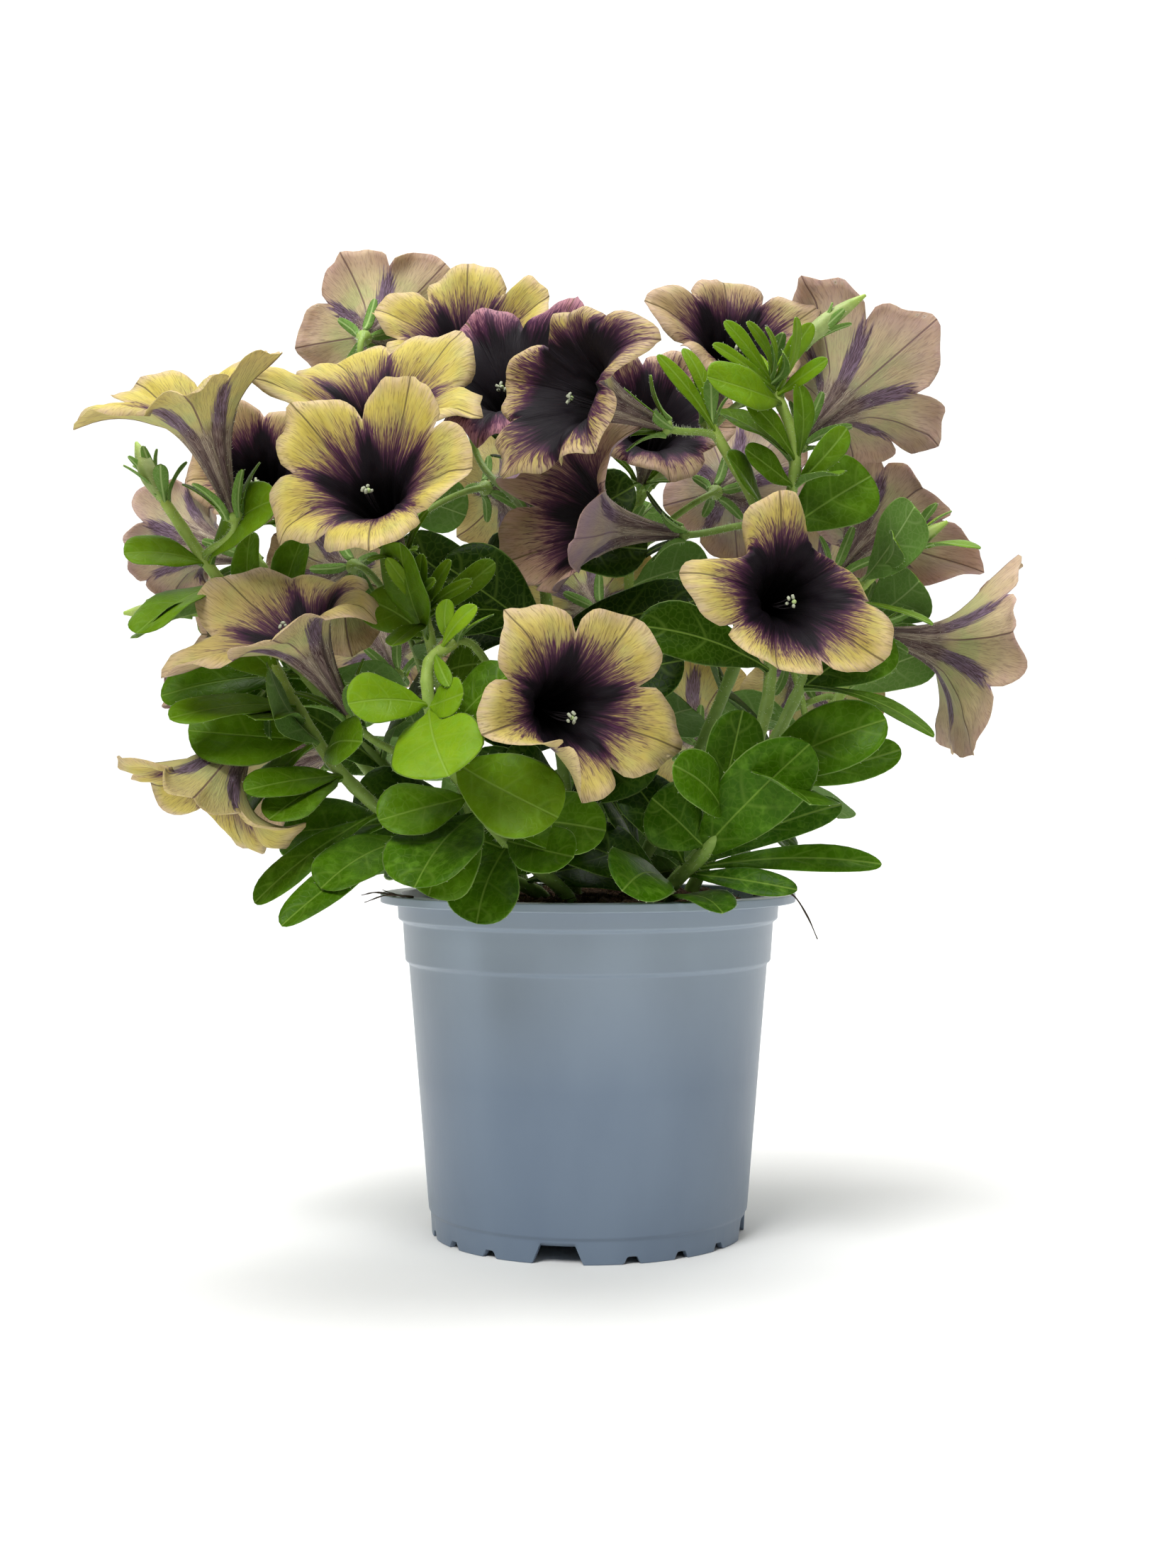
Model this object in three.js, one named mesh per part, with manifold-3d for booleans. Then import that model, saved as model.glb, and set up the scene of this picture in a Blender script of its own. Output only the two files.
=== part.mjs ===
// Potted petunia in bloom: a round nursery pot filled with peat, leafy stems that stand in the
// peat, and a trumpet bloom on each flower stalk.
// Millimetres, +Z up, origin on the pot's axis at the surface it stands on, front towards -Y.

import * as THREE from 'three';
import { mergeVertices } from 'three/addons/utils/BufferGeometryUtils.js';
import Module from 'manifold-3d';

const wasm = await Module();
wasm.setup();

// Pot: radii are outer ones unless named otherwise
const POT_HEIGHT = 106;
const RIM_RADIUS = 65;
const RIM_LIP = 2.6;
const RIM_SHEET = 1.2;
const BAND_RADIUS = 59.8;
const BAND_FOOT = 98.2;
const STEP_RADIUS = 57.2;
const STEP_HEIGHT = 85.2;
const BASE_RADIUS = 49.9;
const BASE_HEIGHT = 8;
const FOOT_RADIUS = 48.9;
const FOOT_WALL = 2;
const FLOOR_UNDERSIDE = 5.2;
const WALL = 1.3;
const POT_SEGMENTS = 30;
const DRAIN_RADIUS = 4;
const DRAIN_CIRCLE = 34;
const DRAIN_COUNT = 4;

// Foot notches, as angles from the front towards the right
const FOOT_QUARTERS = 4;
const WIDE_NOTCH = { turn: -10.6, foot: 15.2, top: 10.3, height: 6 };
const SMALL_NOTCHES = [26, 45, 64];
const SMALL_NOTCH = { foot: 5, top: 3, height: 2.2 };

// Peat: a low mound under the rim's level at the wall
const GAP = 0.3;
const CLEARANCE = 0.4;
const PEAT_EDGE = 100;
const PEAT_RISE = 5.5;
const PEAT_RINGS = 3;
const PEAT_SEGMENTS = 18;

// Stems, stalks and calyx
const ROOT_DEPTH = 92;
const PEAT_LEVEL = 106;
const STEM_SIDES = 5;
const STEM_FOOT_RADIUS = 2.2;
const STEM_TIP_RADIUS = 1.6;
const BUD_SIDES = 5;
const STALK_RADIUS = 1.1;
const CALYX_RADIUS = 3.3;
const CALYX_CUP_RADIUS = 1.95;
const CALYX_GAP = 0.4;
const SEPAL_LENGTH = 15;
const SEPAL_SPREAD = 35;

// Blades
const BLADE_THICKNESS = 0.7;
const FUSE_TOLERANCE = 0.1;
const TURN = 137.508;
const TUFT_SEED = 40;
const RING_SEED = 80;
// Rows of a blade: place from foot to tip, and number of points across
const LARGE_ROWS = [[0.22, 2], [0.52, 3], [0.85, 3]];
const MIDDLE_ROWS = [[0.34, 2], [0.76, 3]];
const SMALL_ROWS = [[0.62, 2]];

// Corolla: a trumpet of five fused petals
const LOBES = 5;
const TUBE_LENGTH = 36;
const TUBE_BASE_RADIUS = 1.3;
const THROAT_RADIUS = 9;
const PETAL_THICKNESS = 0.7;
const EVEN_REACHES = [1, 1, 1, 1, 1];

const up = new THREE.Vector3(0, 0, 1);
const front = new THREE.Vector3(0, -1, 0);
const vector = ([x, y, z]) => new THREE.Vector3(x, y, z);
const radians = THREE.MathUtils.degToRad;
const lerp = THREE.MathUtils.lerp;

// Stems from the left round to the back. The path starts in the peat.
// blooms: place on the stem, throat centre, facing, limb radius, turn of the first lobe in degrees,
//   bend of each lobe in radians (forwards positive), depth of the notches between them, and the
//   lobes' lengths against the radius where they differ
// leaves: place on the stem, tip, width
// buds: place on the stem, tip, length
// ring: number of leaves set by rule, the first one's turn in degrees, lowest and highest place
const STEMS = [
  {
    place: 'left',
    path: [[-22, -8], [-50, -18, 132], [-84, -34, 172], [-106, -50, 198], [-122, -58, 222]],
    blooms: [
      [0.84, [-109, -78, 249], [-0.26, -0.24, 0.93], 29, 249, [0.1, -0.3, 0.6, 0.1, 0.6], 0.5,
        [1.25, 0.93, 0.9, 1, 1.03]],
    ],
    leaves: [
      [0.84, [-131, -66, 205], 13], [0.8, [-126, -72, 182], 17], [0.84, [-86, -76, 219], 17],
      [0.6, [-112, -64, 160], 16], [0.45, [-92, -58, 164], 17],
    ],
    buds: [[0.97, [-131, -50, 239], 20], [0.66, [-136, -44, 190], 17]],
    ring: [5, 60, 0.2, 0.75],
  },
  {
    place: 'left_low',
    path: [[-14, -24], [-46, -48, 122], [-70, -54, 142], [-84, -52, 162], [-92, -48, 176]],
    blooms: [
      [0.84, [-110, -62, 135], [-0.5, -0.25, -0.83], 28, 90, [0.5, 0.1, 0.1, -0.4, 0.4], 0.48,
        [0.94, 1, 1, 1.1, 0.96]],
    ],
    leaves: [
      [0.8, [-122, -66, 158], 13], [0.75, [-93, -72, 158], 17], [0.66, [-63, -80, 161], 14],
      [0.6, [-89, -72, 130], 16], [0.6, [-96, -72, 138], 12], [0.42, [-84, -82, 101], 12],
      [0.42, [-74, -76, 111], 18], [0.5, [-95, -60, 106], 11], [0.7, [-114, -50, 122], 13],
      [0.7, [-112, -40, 150], 22],
    ],
    buds: [],
    ring: [4, 20, 0.25, 0.9],
  },
  {
    place: 'front',
    path: [
      [-6, -34], [-22, -56, 122], [-32, -72, 136], [-40, -84, 150], [-43, -89, 162],
      [-43, -88, 173], [-36, -84, 179],
    ],
    blooms: [
      [0.98, [-3, -95, 161], [0.45, -0.89, 0.01], 29, 52, [-0.1, -0.6, -0.2, 0.2, 0.1], 0.48,
        [1, 1.09, 1, 0.83, 1.13]],
    ],
    leaves: [
      [0.69, [-36, -114, 142], 24], [0.7, [-63, -106, 161], 15], [0.7, [-33, -100, 164], 11],
      [0.54, [-8, -96, 131], 22], [0.39, [-44, -79, 109], 23], [0.29, [-31, -73, 101], 20],
      [0.3, [-4, -84, 120], 15], [0.43, [-57, -86, 130], 16], [0.36, [5, -76, 127], 17],
      [0.97, [-38, -90, 190], 5], [0.93, [-30, -92, 188], 5],
    ],
    buds: [],
    ring: [3, 100, 0.21, 0.57],
  },
  {
    place: 'hero',
    path: [[-26, -18], [-36, -38, 136], [-42, -52, 166], [-47, -62, 190]],
    blooms: [
      [0.98, [-60, -92, 224], [-0.2, -0.83, 0.53], 29, 356, [0.3, 0.8, 0.6, -0.6, 0.1], 0.4,
        [1.12, 1, 1.01, 1.02, 1.01]],
      [0.94, [-62, -42, 256], [0.04, -0.59, 0.81], 31, 46, [0.5, -0.3, 0.3, 0.4, -0.1], 0.35,
        [1.18, 0.99, 1.25, 0.92, 1.04]],
      [0.5, [-84, -77, 188], [-0.45, -0.42, 0.79], 29, 97, [-0.9, 0.8, 0.1, 0, -1.5], 0.28,
        [1, 1.08, 1.28, 0.85, 1.02]],
    ],
    leaves: [
      [0.95, [-54, -80, 178], 8], [0.9, [-64, -56, 193], 13], [0.99, [-38, -76, 202], 5],
      [0.97, [-26, -70, 202], 8], [0.99, [-46, -74, 204], 5], [0.8, [-30, -66, 174], 15],
    ],
    buds: [],
    ring: [5, 10, 0.25, 0.9],
  },
  {
    place: 'knee',
    path: [[22, -34], [37, -60, 126], [52, -46, 162], [54, -30, 196], [52, -34, 218], [35, -44, 247]],
    blooms: [
      [0.96, [-7, -72, 252], [-0.81, -0.53, 0.25], 28, 26, [-0.8, 0, 0.4, 0.3, -0.1], 0.46,
        [1.23, 0.65, 1.01, 1.06, 1.08]],
      [0.55, [58, -80, 194], [0.28, -0.95, 0.13], 29, 29, [-1.5, 0.9, -0.1, 1, 0.3], 0.42,
        [1.06, 0.89, 1.22, 1.1, 1.04]],
      [0.8, [-5, -42, 217], [-0.91, -0.41, 0.05], 28, 53, [-0.6, 1.9, 0.5, 0.9, 1], 0.46,
        [1.39, 1.17, 1.27, 0.65, 1.14]],
    ],
    leaves: [
      [0.35, [23, -90, 145], 15], [0.26, [61, -80, 151], 20], [0.25, [84, -58, 117], 8],
      [0.24, [59, -66, 110], 8], [0.15, [49, -66, 104], 14], [0.2, [-5, -80, 111], 20],
      [0.4, [83, -74, 158], 18], [0.4, [91, -48, 150], 11], [0.55, [14, -62, 185], 17],
      [0.3, [44, -60, 161], 16], [0.3, [18, -64, 136], 20], [0.97, [20, -52, 264], 5],
      [0.99, [28, -42, 268], 5], [0.25, [74, -46, 134], 10],
    ],
    buds: [],
    ring: [4, 150, 0.2, 0.8],
  },
  {
    place: 'right_crown',
    path: [[12, -10], [34, -16, 150], [52, -20, 196], [62, -32, 236], [54, -32, 262]],
    blooms: [
      [0.92, [47, -10, 280], [0.23, -0.75, 0.62], 27, 88, [0.1, 0, 0.3, -0.3, 0.4], 0.46,
        [0.93, 1.16, 0.87, 0.7, 0.96]],
      [0.76, [86, 8, 267], [0.57, 0.56, 0.6], 31, 157, [0.3, 0.2, 0.3, 0.1, 0.2], 0.42,
        [1.11, 0.97, 1.09, 1, 1.25]],
    ],
    leaves: [
      [0.93, [34, -60, 256], 14], [0.76, [46, -44, 238], 10], [0.76, [77, -34, 246], 8],
      [0.8, [62, -40, 258], 8], [0.76, [73, -48, 230], 10], [0.97, [40, -42, 276], 6],
      [0.97, [66, -40, 276], 6],
    ],
    buds: [[0.9, [84, -24, 288], 22]],
    ring: [6, 200, 0.25, 0.8],
  },
  {
    place: 'right',
    path: [[32, -4], [50, -12, 138], [66, -8, 170], [80, -4, 196], [104, 0, 218]],
    blooms: [
      [0.8, [99, 54, 231], [0.48, 0.63, 0.61], 30, 79, [-0.5, -0.6, 0.1, 0.1, 0.6], 0.36,
        [0.88, 0.9, 1.31, 1, 1.14]],
      [0.6, [127, 35, 184], [0.97, 0.14, -0.18], 32, 100, [0.5, 0.3, 0, 0.1, 1], 0.28,
        [1.05, 1, 1.2, 1.3, 1.1]],
    ],
    leaves: [
      [0.8, [104, -26, 188], 6], [0.6, [103, -34, 154], 8], [0.45, [70, -40, 146], 10],
      [0.95, [120, -18, 212], 7], [0.9, [92, -28, 214], 9],
    ],
    buds: [[0.8, [111, -12, 221], 22]],
    ring: [6, 320, 0.2, 0.85],
  },
  {
    place: 'centre',
    path: [[-4, -14], [-8, -26, 150], [-12, -22, 190], [-16, -16, 220]],
    blooms: [
      [0.97, [-26, -24, 265], [-0.2, -0.68, 0.7], 30, 52, [0.6, 0.2, -0.3, -0.4, 0.6], 0.28,
        [1.07, 1.02, 0.85, 1.05, 1.33]],
      [0.9, [-40, 12, 286], [-0.02, -0.72, 0.69], 29, 90, [0.3, 0.2, 0.1, 0.1, 0.8], 0.41,
        [1.01, 1.04, 1, 1, 1.07]],
    ],
    leaves: [
      [0.93, [6, -44, 206], 20], [0.9, [-46, -40, 200], 25], [0.75, [-58, -46, 186], 21],
      [0.72, [32, -42, 194], 18], [0.58, [28, -48, 176], 22], [0.5, [-36, -50, 168], 21],
      [0.42, [22, -54, 154], 20], [0.35, [-34, -54, 148], 19], [0.7, [-44, -34, 206], 24],
      [0.8, [-28, -36, 214], 20], [0.97, [14, -26, 230], 18],
    ],
    buds: [],
    ring: [5, 75, 0.2, 0.9],
  },
  {
    place: 'far_left',
    path: [[-36, 8], [-66, 4, 140], [-92, 4, 174], [-108, 14, 196]],
    blooms: [
      [0.95, [-106, 5, 241], [-0.1, -0.93, 0.35], 22, 50, [0, 0.3, 0.1, -0.1, 0.2], 0.28],
      [0.9, [-130, 8, 218], [-0.75, 0.6, 0.25], 20, 50, [0, 0.3, 0.1, -0.1, 0.2], 0.28],
      [0.7, [-120, -14, 182], [-0.9, -0.1, 0.4], 22, 10, [0, 0.3, 0.1, -0.1, 0.2], 0.28],
    ],
    leaves: [],
    buds: [],
    ring: [8, 40, 0.18, 0.95],
  },
  {
    place: 'back_left',
    path: [[-20, 20], [-46, 34, 150], [-62, 40, 206], [-70, 40, 244]],
    blooms: [
      [0.97, [-69, 48, 293], [0.08, 0.96, 0.27], 29, 63, [-0.1, 0.1, 0.1, 0.1, 0.1], 0.37,
        [0.95, 1.06, 1, 1, 1.02]],
      [0.8, [-24, 84, 244], [0.3, 0.95, 0.1], 27, 40, [0, 0.3, 0.1, -0.1, 0.2], 0.28],
      [0.6, [-84, 30, 206], [-0.3, 0.95, -0.05], 24, 40, [0, 0.3, 0.1, -0.1, 0.2], 0.28],
    ],
    leaves: [],
    buds: [[0.98, [-92, 52, 262], 17]],
    ring: [8, 120, 0.2, 0.95],
  },
  {
    place: 'back',
    path: [[4, 22], [12, 44, 150], [14, 58, 196], [14, 64, 226]],
    blooms: [
      [0.97, [22, 30, 262], [0.1, -0.85, 0.5], 27, 60, [0.2, 0, 0.2, 0.1, 0], 0.28],
      [0.5, [0, 78, 204], [-0.1, 0.98, 0.15], 28, 60, [0.2, 0, 0.2, 0.1, 0], 0.28],
      [0.85, [54, 82, 246], [0.3, 0.93, 0.2], 28, 60, [0.2, 0, 0.2, 0.1, 0], 0.28],
    ],
    leaves: [],
    buds: [[0.97, [34, 66, 258], 17]],
    ring: [8, 230, 0.2, 0.95],
  },
  {
    place: 'back_right',
    path: [[26, 18], [58, 32, 140], [86, 44, 172], [94, 56, 200]],
    blooms: [
      [0.6, [79, 74, 174], [0.3, 0.9, -0.2], 26, 60, [0.2, 0, 0.2, 0.1, 0], 0.28],
      [0.95, [88, 98, 216], [0.4, 0.8, 0.45], 27, 60, [0.2, 0, 0.2, 0.1, 0], 0.28],
      [0.7, [36, 106, 164], [-0.1, 0.95, 0.3], 27, 60, [0.2, 0, 0.2, 0.1, 0], 0.28],
    ],
    leaves: [],
    buds: [],
    ring: [8, 0, 0.2, 0.95],
  },
  {
    place: 'back_low',
    path: [[-10, 36], [-28, 62, 126], [-50, 76, 148], [-70, 82, 170]],
    blooms: [
      [0.95, [-74, 102, 196], [-0.2, 0.85, 0.5], 28, 60, [0.2, 0, 0.2, 0.1, 0], 0.28],
      [0.7, [-108, 78, 150], [-0.8, 0.55, -0.1], 27, 60, [0.2, 0, 0.2, 0.1, 0], 0.28],
    ],
    leaves: [],
    buds: [],
    ring: [8, 300, 0.2, 0.95],
  },
];

// Turns, lifts and sizes that a blade is tried at until it is clear of every other piece
const BLADE_TRIES = [
  [0, 0, 1], [18, 0, 1], [-18, 0, 1], [0, 18, 1], [0, -18, 1], [36, 8, 1], [-36, 8, 1],
  [0, 32, 0.9], [0, -32, 0.9], [24, 20, 0.8], [-24, 20, 0.8], [24, -20, 0.8], [-24, -20, 0.8],
  [55, 10, 0.8], [-55, 10, 0.8], [0, 0, 0.7], [80, 15, 0.7], [-80, 15, 0.7],
];

// Sideways and upward shifts of a stalk's bow, tried in the same way
const STALK_TRIES = [
  [0, 0], [6, 0], [-6, 0], [0, 6], [0, -6], [12, 0], [-12, 0], [0, 12], [0, -12],
  [10, 10], [-10, 10], [10, -10], [-10, -10], [18, 0], [-18, 0], [0, -18], [0, 18],
];

// Even draws from 0 to 1, the same on every run
function draws(seed) {
  let state = seed;
  return () => {
    state = (state * 1664525 + 1013904223) % 4294967296;
    return state / 4294967296;
  };
}

// A solid from a list of points and a list of triangles
function solid(points, faces) {
  const vertProperties = Float32Array.from(points.flatMap((point) => point.toArray()));
  return new wasm.Manifold(new wasm.Mesh({
    numProp: 3,
    vertProperties,
    triVerts: Uint32Array.from(faces.flat()),
  }));
}

// A solid from a closed geometry, without the zero triangles that a lathe leaves on its axis
function solidFrom(geometry) {
  const bare = geometry.clone();
  bare.deleteAttribute('normal');
  bare.deleteAttribute('uv');
  const merged = mergeVertices(bare, 1e-4);
  const kept = [];
  for (let i = 0; i < merged.index.count; i += 3) {
    const corners = [0, 1, 2].map((k) => merged.index.getX(i + k));
    if (new Set(corners).size === 3) kept.push(...corners);
  }
  return new wasm.Manifold(new wasm.Mesh({
    numProp: 3,
    vertProperties: merged.attributes.position.array,
    triVerts: Uint32Array.from(kept),
  }));
}

function meshOf(shape, name, material) {
  const { vertProperties, triVerts } = shape.getMesh();
  const geometry = new THREE.BufferGeometry();
  geometry.setAttribute('position', new THREE.BufferAttribute(vertProperties, 3));
  geometry.setIndex(new THREE.BufferAttribute(triVerts, 1));
  geometry.computeVertexNormals();
  const mesh = new THREE.Mesh(geometry, material);
  mesh.name = name;
  return mesh;
}

// Triangles between two rows of a sheet, which may differ in their number of points
function stitch(a, b) {
  const faces = [];
  let i = 0;
  let j = 0;
  while (i + 1 < a.length || j + 1 < b.length) {
    const nextA = a.length > 1 ? (i + 1) / (a.length - 1) : Infinity;
    const nextB = b.length > 1 ? (j + 1) / (b.length - 1) : Infinity;
    if (nextA <= nextB) {
      faces.push([a[i], a[i + 1], b[j]]);
      i += 1;
    } else {
      faces.push([a[i], b[j + 1], b[j]]);
      j += 1;
    }
  }
  return faces;
}

// A thin closed blade: the same rows of points on its upper and lower face, joined round the edge
function sheet(upperRows, lowerRows) {
  const points = [...upperRows.flat(), ...lowerRows.flat()];
  const below = upperRows.flat().length;
  let next = 0;
  const rows = upperRows.map((row) => row.map(() => next++));
  const faces = rows.slice(1).flatMap((row, i) => stitch(rows[i], row));
  const under = faces.map(([a, b, c]) => [a + below, c + below, b + below]);
  const inner = rows.slice(1, -1);
  const edge = [
    rows[0][0],
    ...inner.map((row) => row.at(-1)),
    rows.at(-1)[0],
    ...inner.map((row) => row[0]).reverse(),
  ];
  const rim = edge.flatMap((a, i) => {
    const b = edge[(i + 1) % edge.length];
    return [[a + below, b + below, b], [a + below, b, a]];
  });
  return solid(points, [...faces, ...under, ...rim]);
}

// The wall of a round bar along a list of centres, with a radius at each. The first point of each
// ring lies towards `across`, carried along the bar.
function barWall(centres, radii, sides, across) {
  const points = [];
  const faces = [];
  const side = across.clone();
  centres.forEach((centre, i) => {
    const before = centres[Math.max(i - 1, 0)];
    const after = centres[Math.min(i + 1, centres.length - 1)];
    const along = after.clone().sub(before).normalize();
    side.addScaledVector(along, -side.dot(along)).normalize();
    const other = along.clone().cross(side);
    for (let j = 0; j < sides; j += 1) {
      const angle = (2 * Math.PI * j) / sides;
      points.push(centre.clone()
        .addScaledVector(side, radii[i] * Math.cos(angle))
        .addScaledVector(other, radii[i] * Math.sin(angle)));
    }
    if (i === 0) return;
    const low = (i - 1) * sides;
    const high = i * sides;
    for (let j = 0; j < sides; j += 1) {
      const k = (j + 1) % sides;
      faces.push([low + j, low + k, high + k], [low + j, high + k, high + j]);
    }
  });
  const last = points.length - sides;
  for (let j = 1; j + 1 < sides; j += 1) faces.push([last, last + j, last + j + 1]);
  return { points, faces };
}

function bar(centres, radii, sides) {
  const { points, faces } = barWall(centres, radii, sides, new THREE.Vector3(1, 0, 0));
  for (let j = 1; j + 1 < sides; j += 1) faces.push([0, j + 1, j]);
  return solid(points, faces);
}

// Share of a blade's half width at a place from its foot, 0, to its tip, 1
const bladeOutline = (s) => (s ** 1.2 * (1 - s) ** 0.5) / 0.3571;

// The directions of a blade: along its chord, out of its upper face, and across
function bladeFrame({ foot, tip, face, roll = 0 }) {
  const along = tip.clone().sub(foot);
  const length = along.length();
  along.divideScalar(length);
  let out = face;
  if (!out) {
    const level = new THREE.Vector3(along.x, along.y, 0).normalize();
    const flat = Math.hypot(along.x, along.y);
    out = level.multiplyScalar(-along.z).addScaledVector(up, flat);
  }
  out = out.clone().addScaledVector(along, -out.dot(along)).normalize();
  out.applyAxisAngle(along, roll);
  return { along, out, across: along.clone().cross(out), length };
}

// One row of a blade across its midrib. The midrib is a parabola over the chord, and the two halves
// rise from it by the fold.
function bladeRow(blade, frame, [s, count], thickness) {
  const { arch = 0.08, fold = 0.25, width } = blade;
  const lean = 4 * arch * (1 - 2 * s);
  const normal = frame.out.clone().addScaledVector(frame.along, -lean).normalize();
  const centre = blade.foot.clone()
    .addScaledVector(frame.along, frame.length * s)
    .addScaledVector(frame.out, 4 * arch * frame.length * s * (1 - s))
    .addScaledVector(normal, thickness);
  if (count === 1) return [centre];
  const half = (width / 2) * bladeOutline(s);
  const places = count === 3 ? [-1, 0, 1] : [-1, 1];
  return places.map((x) => centre.clone()
    .addScaledVector(frame.across, half * x)
    .addScaledVector(normal, half * fold * Math.abs(x)));
}

function bladeSolid(blade, extra = 0) {
  const frame = bladeFrame(blade);
  const places = [[0, 1], ...blade.rows, [1, 1]];
  const rows = (side) => places.map((place) => (
    bladeRow(blade, frame, place, side * (BLADE_THICKNESS / 2 + extra))
  ));
  return sheet(rows(1), rows(-1));
}

// A blade turned round the upright through its foot, lifted and scaled
function bladeTry(blade, [turn, lift, size]) {
  const chord = blade.tip.clone().sub(blade.foot);
  const flat = Math.hypot(chord.x, chord.y);
  const heading = Math.atan2(chord.y, chord.x) + radians(turn);
  const rise = THREE.MathUtils.clamp(Math.atan2(chord.z, flat) + radians(lift), -1.4, 1.4);
  const length = chord.length() * size;
  const tip = blade.foot.clone().add(new THREE.Vector3(
    length * Math.cos(rise) * Math.cos(heading),
    length * Math.cos(rise) * Math.sin(heading),
    length * Math.sin(rise),
  ));
  return { ...blade, tip, width: blade.width * size };
}

// A value that each lobe has for itself, eased into its neighbours' at an angle between them
function lobeValue(values, angle) {
  const place = ((angle / (2 * Math.PI)) * LOBES + 2 * LOBES) % LOBES;
  const lobe = Math.floor(place);
  const share = place - lobe;
  const ease = share * share * (3 - 2 * share);
  return lerp(values[lobe], values[(lobe + 1) % LOBES], ease);
}

// A point of the corolla. The trumpet's profile is a cubic curve from the calyx to the limb's edge.
// Beyond the throat the limb is rolled into an arc, forwards or back, and the edge is drawn in
// between the lobes.
function corollaPoint(bloom, angle, v) {
  const { radius, bends, notch, reaches } = bloom;
  const waist = 1 - Math.abs(Math.cos((LOBES * angle) / 2)) ** 0.45;
  const lobe = lobeValue(reaches, angle) * (1 - notch * waist);
  const w = 1 - v;
  const weights = [w ** 3, 3 * w * w * v, 3 * w * v * v, v ** 3];
  const radii = [TUBE_BASE_RADIUS, 4, 7, radius];
  const places = [-TUBE_LENGTH, -0.45 * TUBE_LENGTH, -1, 0];
  let out = weights.reduce((sum, weight, i) => sum + weight * radii[i], 0);
  let along = weights.reduce((sum, weight, i) => sum + weight * places[i], 0);
  const limb = Math.max(0, out - THROAT_RADIUS) * lobe;
  if (limb > 0) {
    const roll = lobeValue(bends, angle) / (radius - THROAT_RADIUS);
    const bent = Math.abs(roll) > 1e-6;
    out = THROAT_RADIUS + (bent ? Math.sin(roll * limb) / roll : limb);
    along += bent ? (1 - Math.cos(roll * limb)) / roll : 0;
  }
  const turned = angle + radians(bloom.turn);
  return bloom.throat.clone()
    .addScaledVector(bloom.facing, along)
    .addScaledVector(bloom.right, out * Math.cos(turned))
    .addScaledVector(bloom.over, out * Math.sin(turned));
}

// The corolla's wall at an angle and a place: its middle surface moved out by half the thickness
function corollaWall(bloom, angle, v, side) {
  const step = 0.01;
  const point = corollaPoint(bloom, angle, v);
  const back = v > 0.5 ? -step : step;
  const alongWall = corollaPoint(bloom, angle, v + back).sub(point).multiplyScalar(Math.sign(back));
  const roundWall = corollaPoint(bloom, angle + step, v)
    .sub(corollaPoint(bloom, angle - step, v));
  const normal = roundWall.cross(alongWall).normalize();
  return point.addScaledVector(normal, side * PETAL_THICKNESS / 2);
}

// Triangles between two rings round the corolla, of which one may have twice the points
function ringFaces(a, b) {
  const faces = [];
  if (a.length === b.length) {
    a.forEach((_, j) => {
      const k = (j + 1) % a.length;
      faces.push([a[j], a[k], b[k]], [a[j], b[k], b[j]]);
    });
    return faces;
  }
  a.forEach((_, j) => {
    const k = (j + 1) % a.length;
    const middle = b[2 * j + 1];
    const next = b[(2 * j + 2) % b.length];
    faces.push([a[j], middle, b[2 * j]], [a[j], a[k], middle], [a[k], next, middle]);
  });
  return faces;
}

function corollaSolid(bloom) {
  const outerRings = [[0, 5], [0.25, 5], [0.5, 5], [0.78, 10], [1, 20]];
  const innerRings = [[0.45, 5], [0.78, 10], [1, 20]];
  const points = [];
  const ringsOf = (rings, side) => rings.map(([v, count]) => (
    Array.from({ length: count }, (_, j) => {
      points.push(corollaWall(bloom, (2 * Math.PI * j) / count, v, side));
      return points.length - 1;
    })
  ));
  const outer = ringsOf(outerRings, 1);
  const inner = ringsOf(innerRings, -1);
  const flip = ([a, b, c]) => [a, c, b];
  const faces = [
    ...outer.slice(1).flatMap((ring, i) => ringFaces(outer[i], ring)),
    ...inner.slice(1).flatMap((ring, i) => ringFaces(inner[i], ring)).map(flip),
    ...ringFaces(outer.at(-1), inner.at(-1)),
  ];
  const foot = outer[0];
  const well = inner[0];
  for (let j = 1; j + 1 < foot.length; j += 1) {
    faces.push([foot[0], foot[j + 1], foot[j]], [well[0], well[j], well[j + 1]]);
  }
  return solid(points, faces);
}

function stemCurve(path) {
  const [x, y] = path[0];
  const points = [[x, y, ROOT_DEPTH], [x, y, PEAT_LEVEL], ...path.slice(1)].map(vector);
  return new THREE.CatmullRomCurve3(points, false, 'catmullrom', 0.5);
}

// A stem, or with a clearance round and under it the plain hole that it stands in
function stemBar(curve, clearance = 0) {
  const steps = 2 * (curve.points.length - 1);
  const places = Array.from({ length: steps + 1 }, (_, i) => i / steps);
  const centres = places.map((t) => curve.getPoint(t));
  centres[0].z -= clearance;
  const radii = places.map((t) => lerp(STEM_FOOT_RADIUS, STEM_TIP_RADIUS, t) + clearance);
  return bar(centres, radii, STEM_SIDES);
}

// A flower stalk leaves the stem along it, bows, and meets the calyx in line with the tube
function stalkCurve(curve, at, bloom, [sideways, upward]) {
  const start = curve.getPoint(at);
  const calyx = bloom.throat.clone().addScaledVector(bloom.facing, -TUBE_LENGTH - CALYX_GAP);
  const reach = calyx.distanceTo(start);
  const leaving = start.clone().addScaledVector(curve.getTangent(at), 0.35 * reach);
  const arriving = calyx.clone().addScaledVector(bloom.facing, -0.4 * reach);
  const sideOf = calyx.clone().sub(start).cross(up).normalize();
  [leaving, arriving].forEach((point) => {
    point.addScaledVector(sideOf, sideways).addScaledVector(up, upward);
  });
  arriving.addScaledVector(sideOf, -0.5 * sideways).addScaledVector(up, -0.5 * upward);
  return new THREE.CubicBezierCurve3(start, leaving, arriving, calyx);
}

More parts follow.
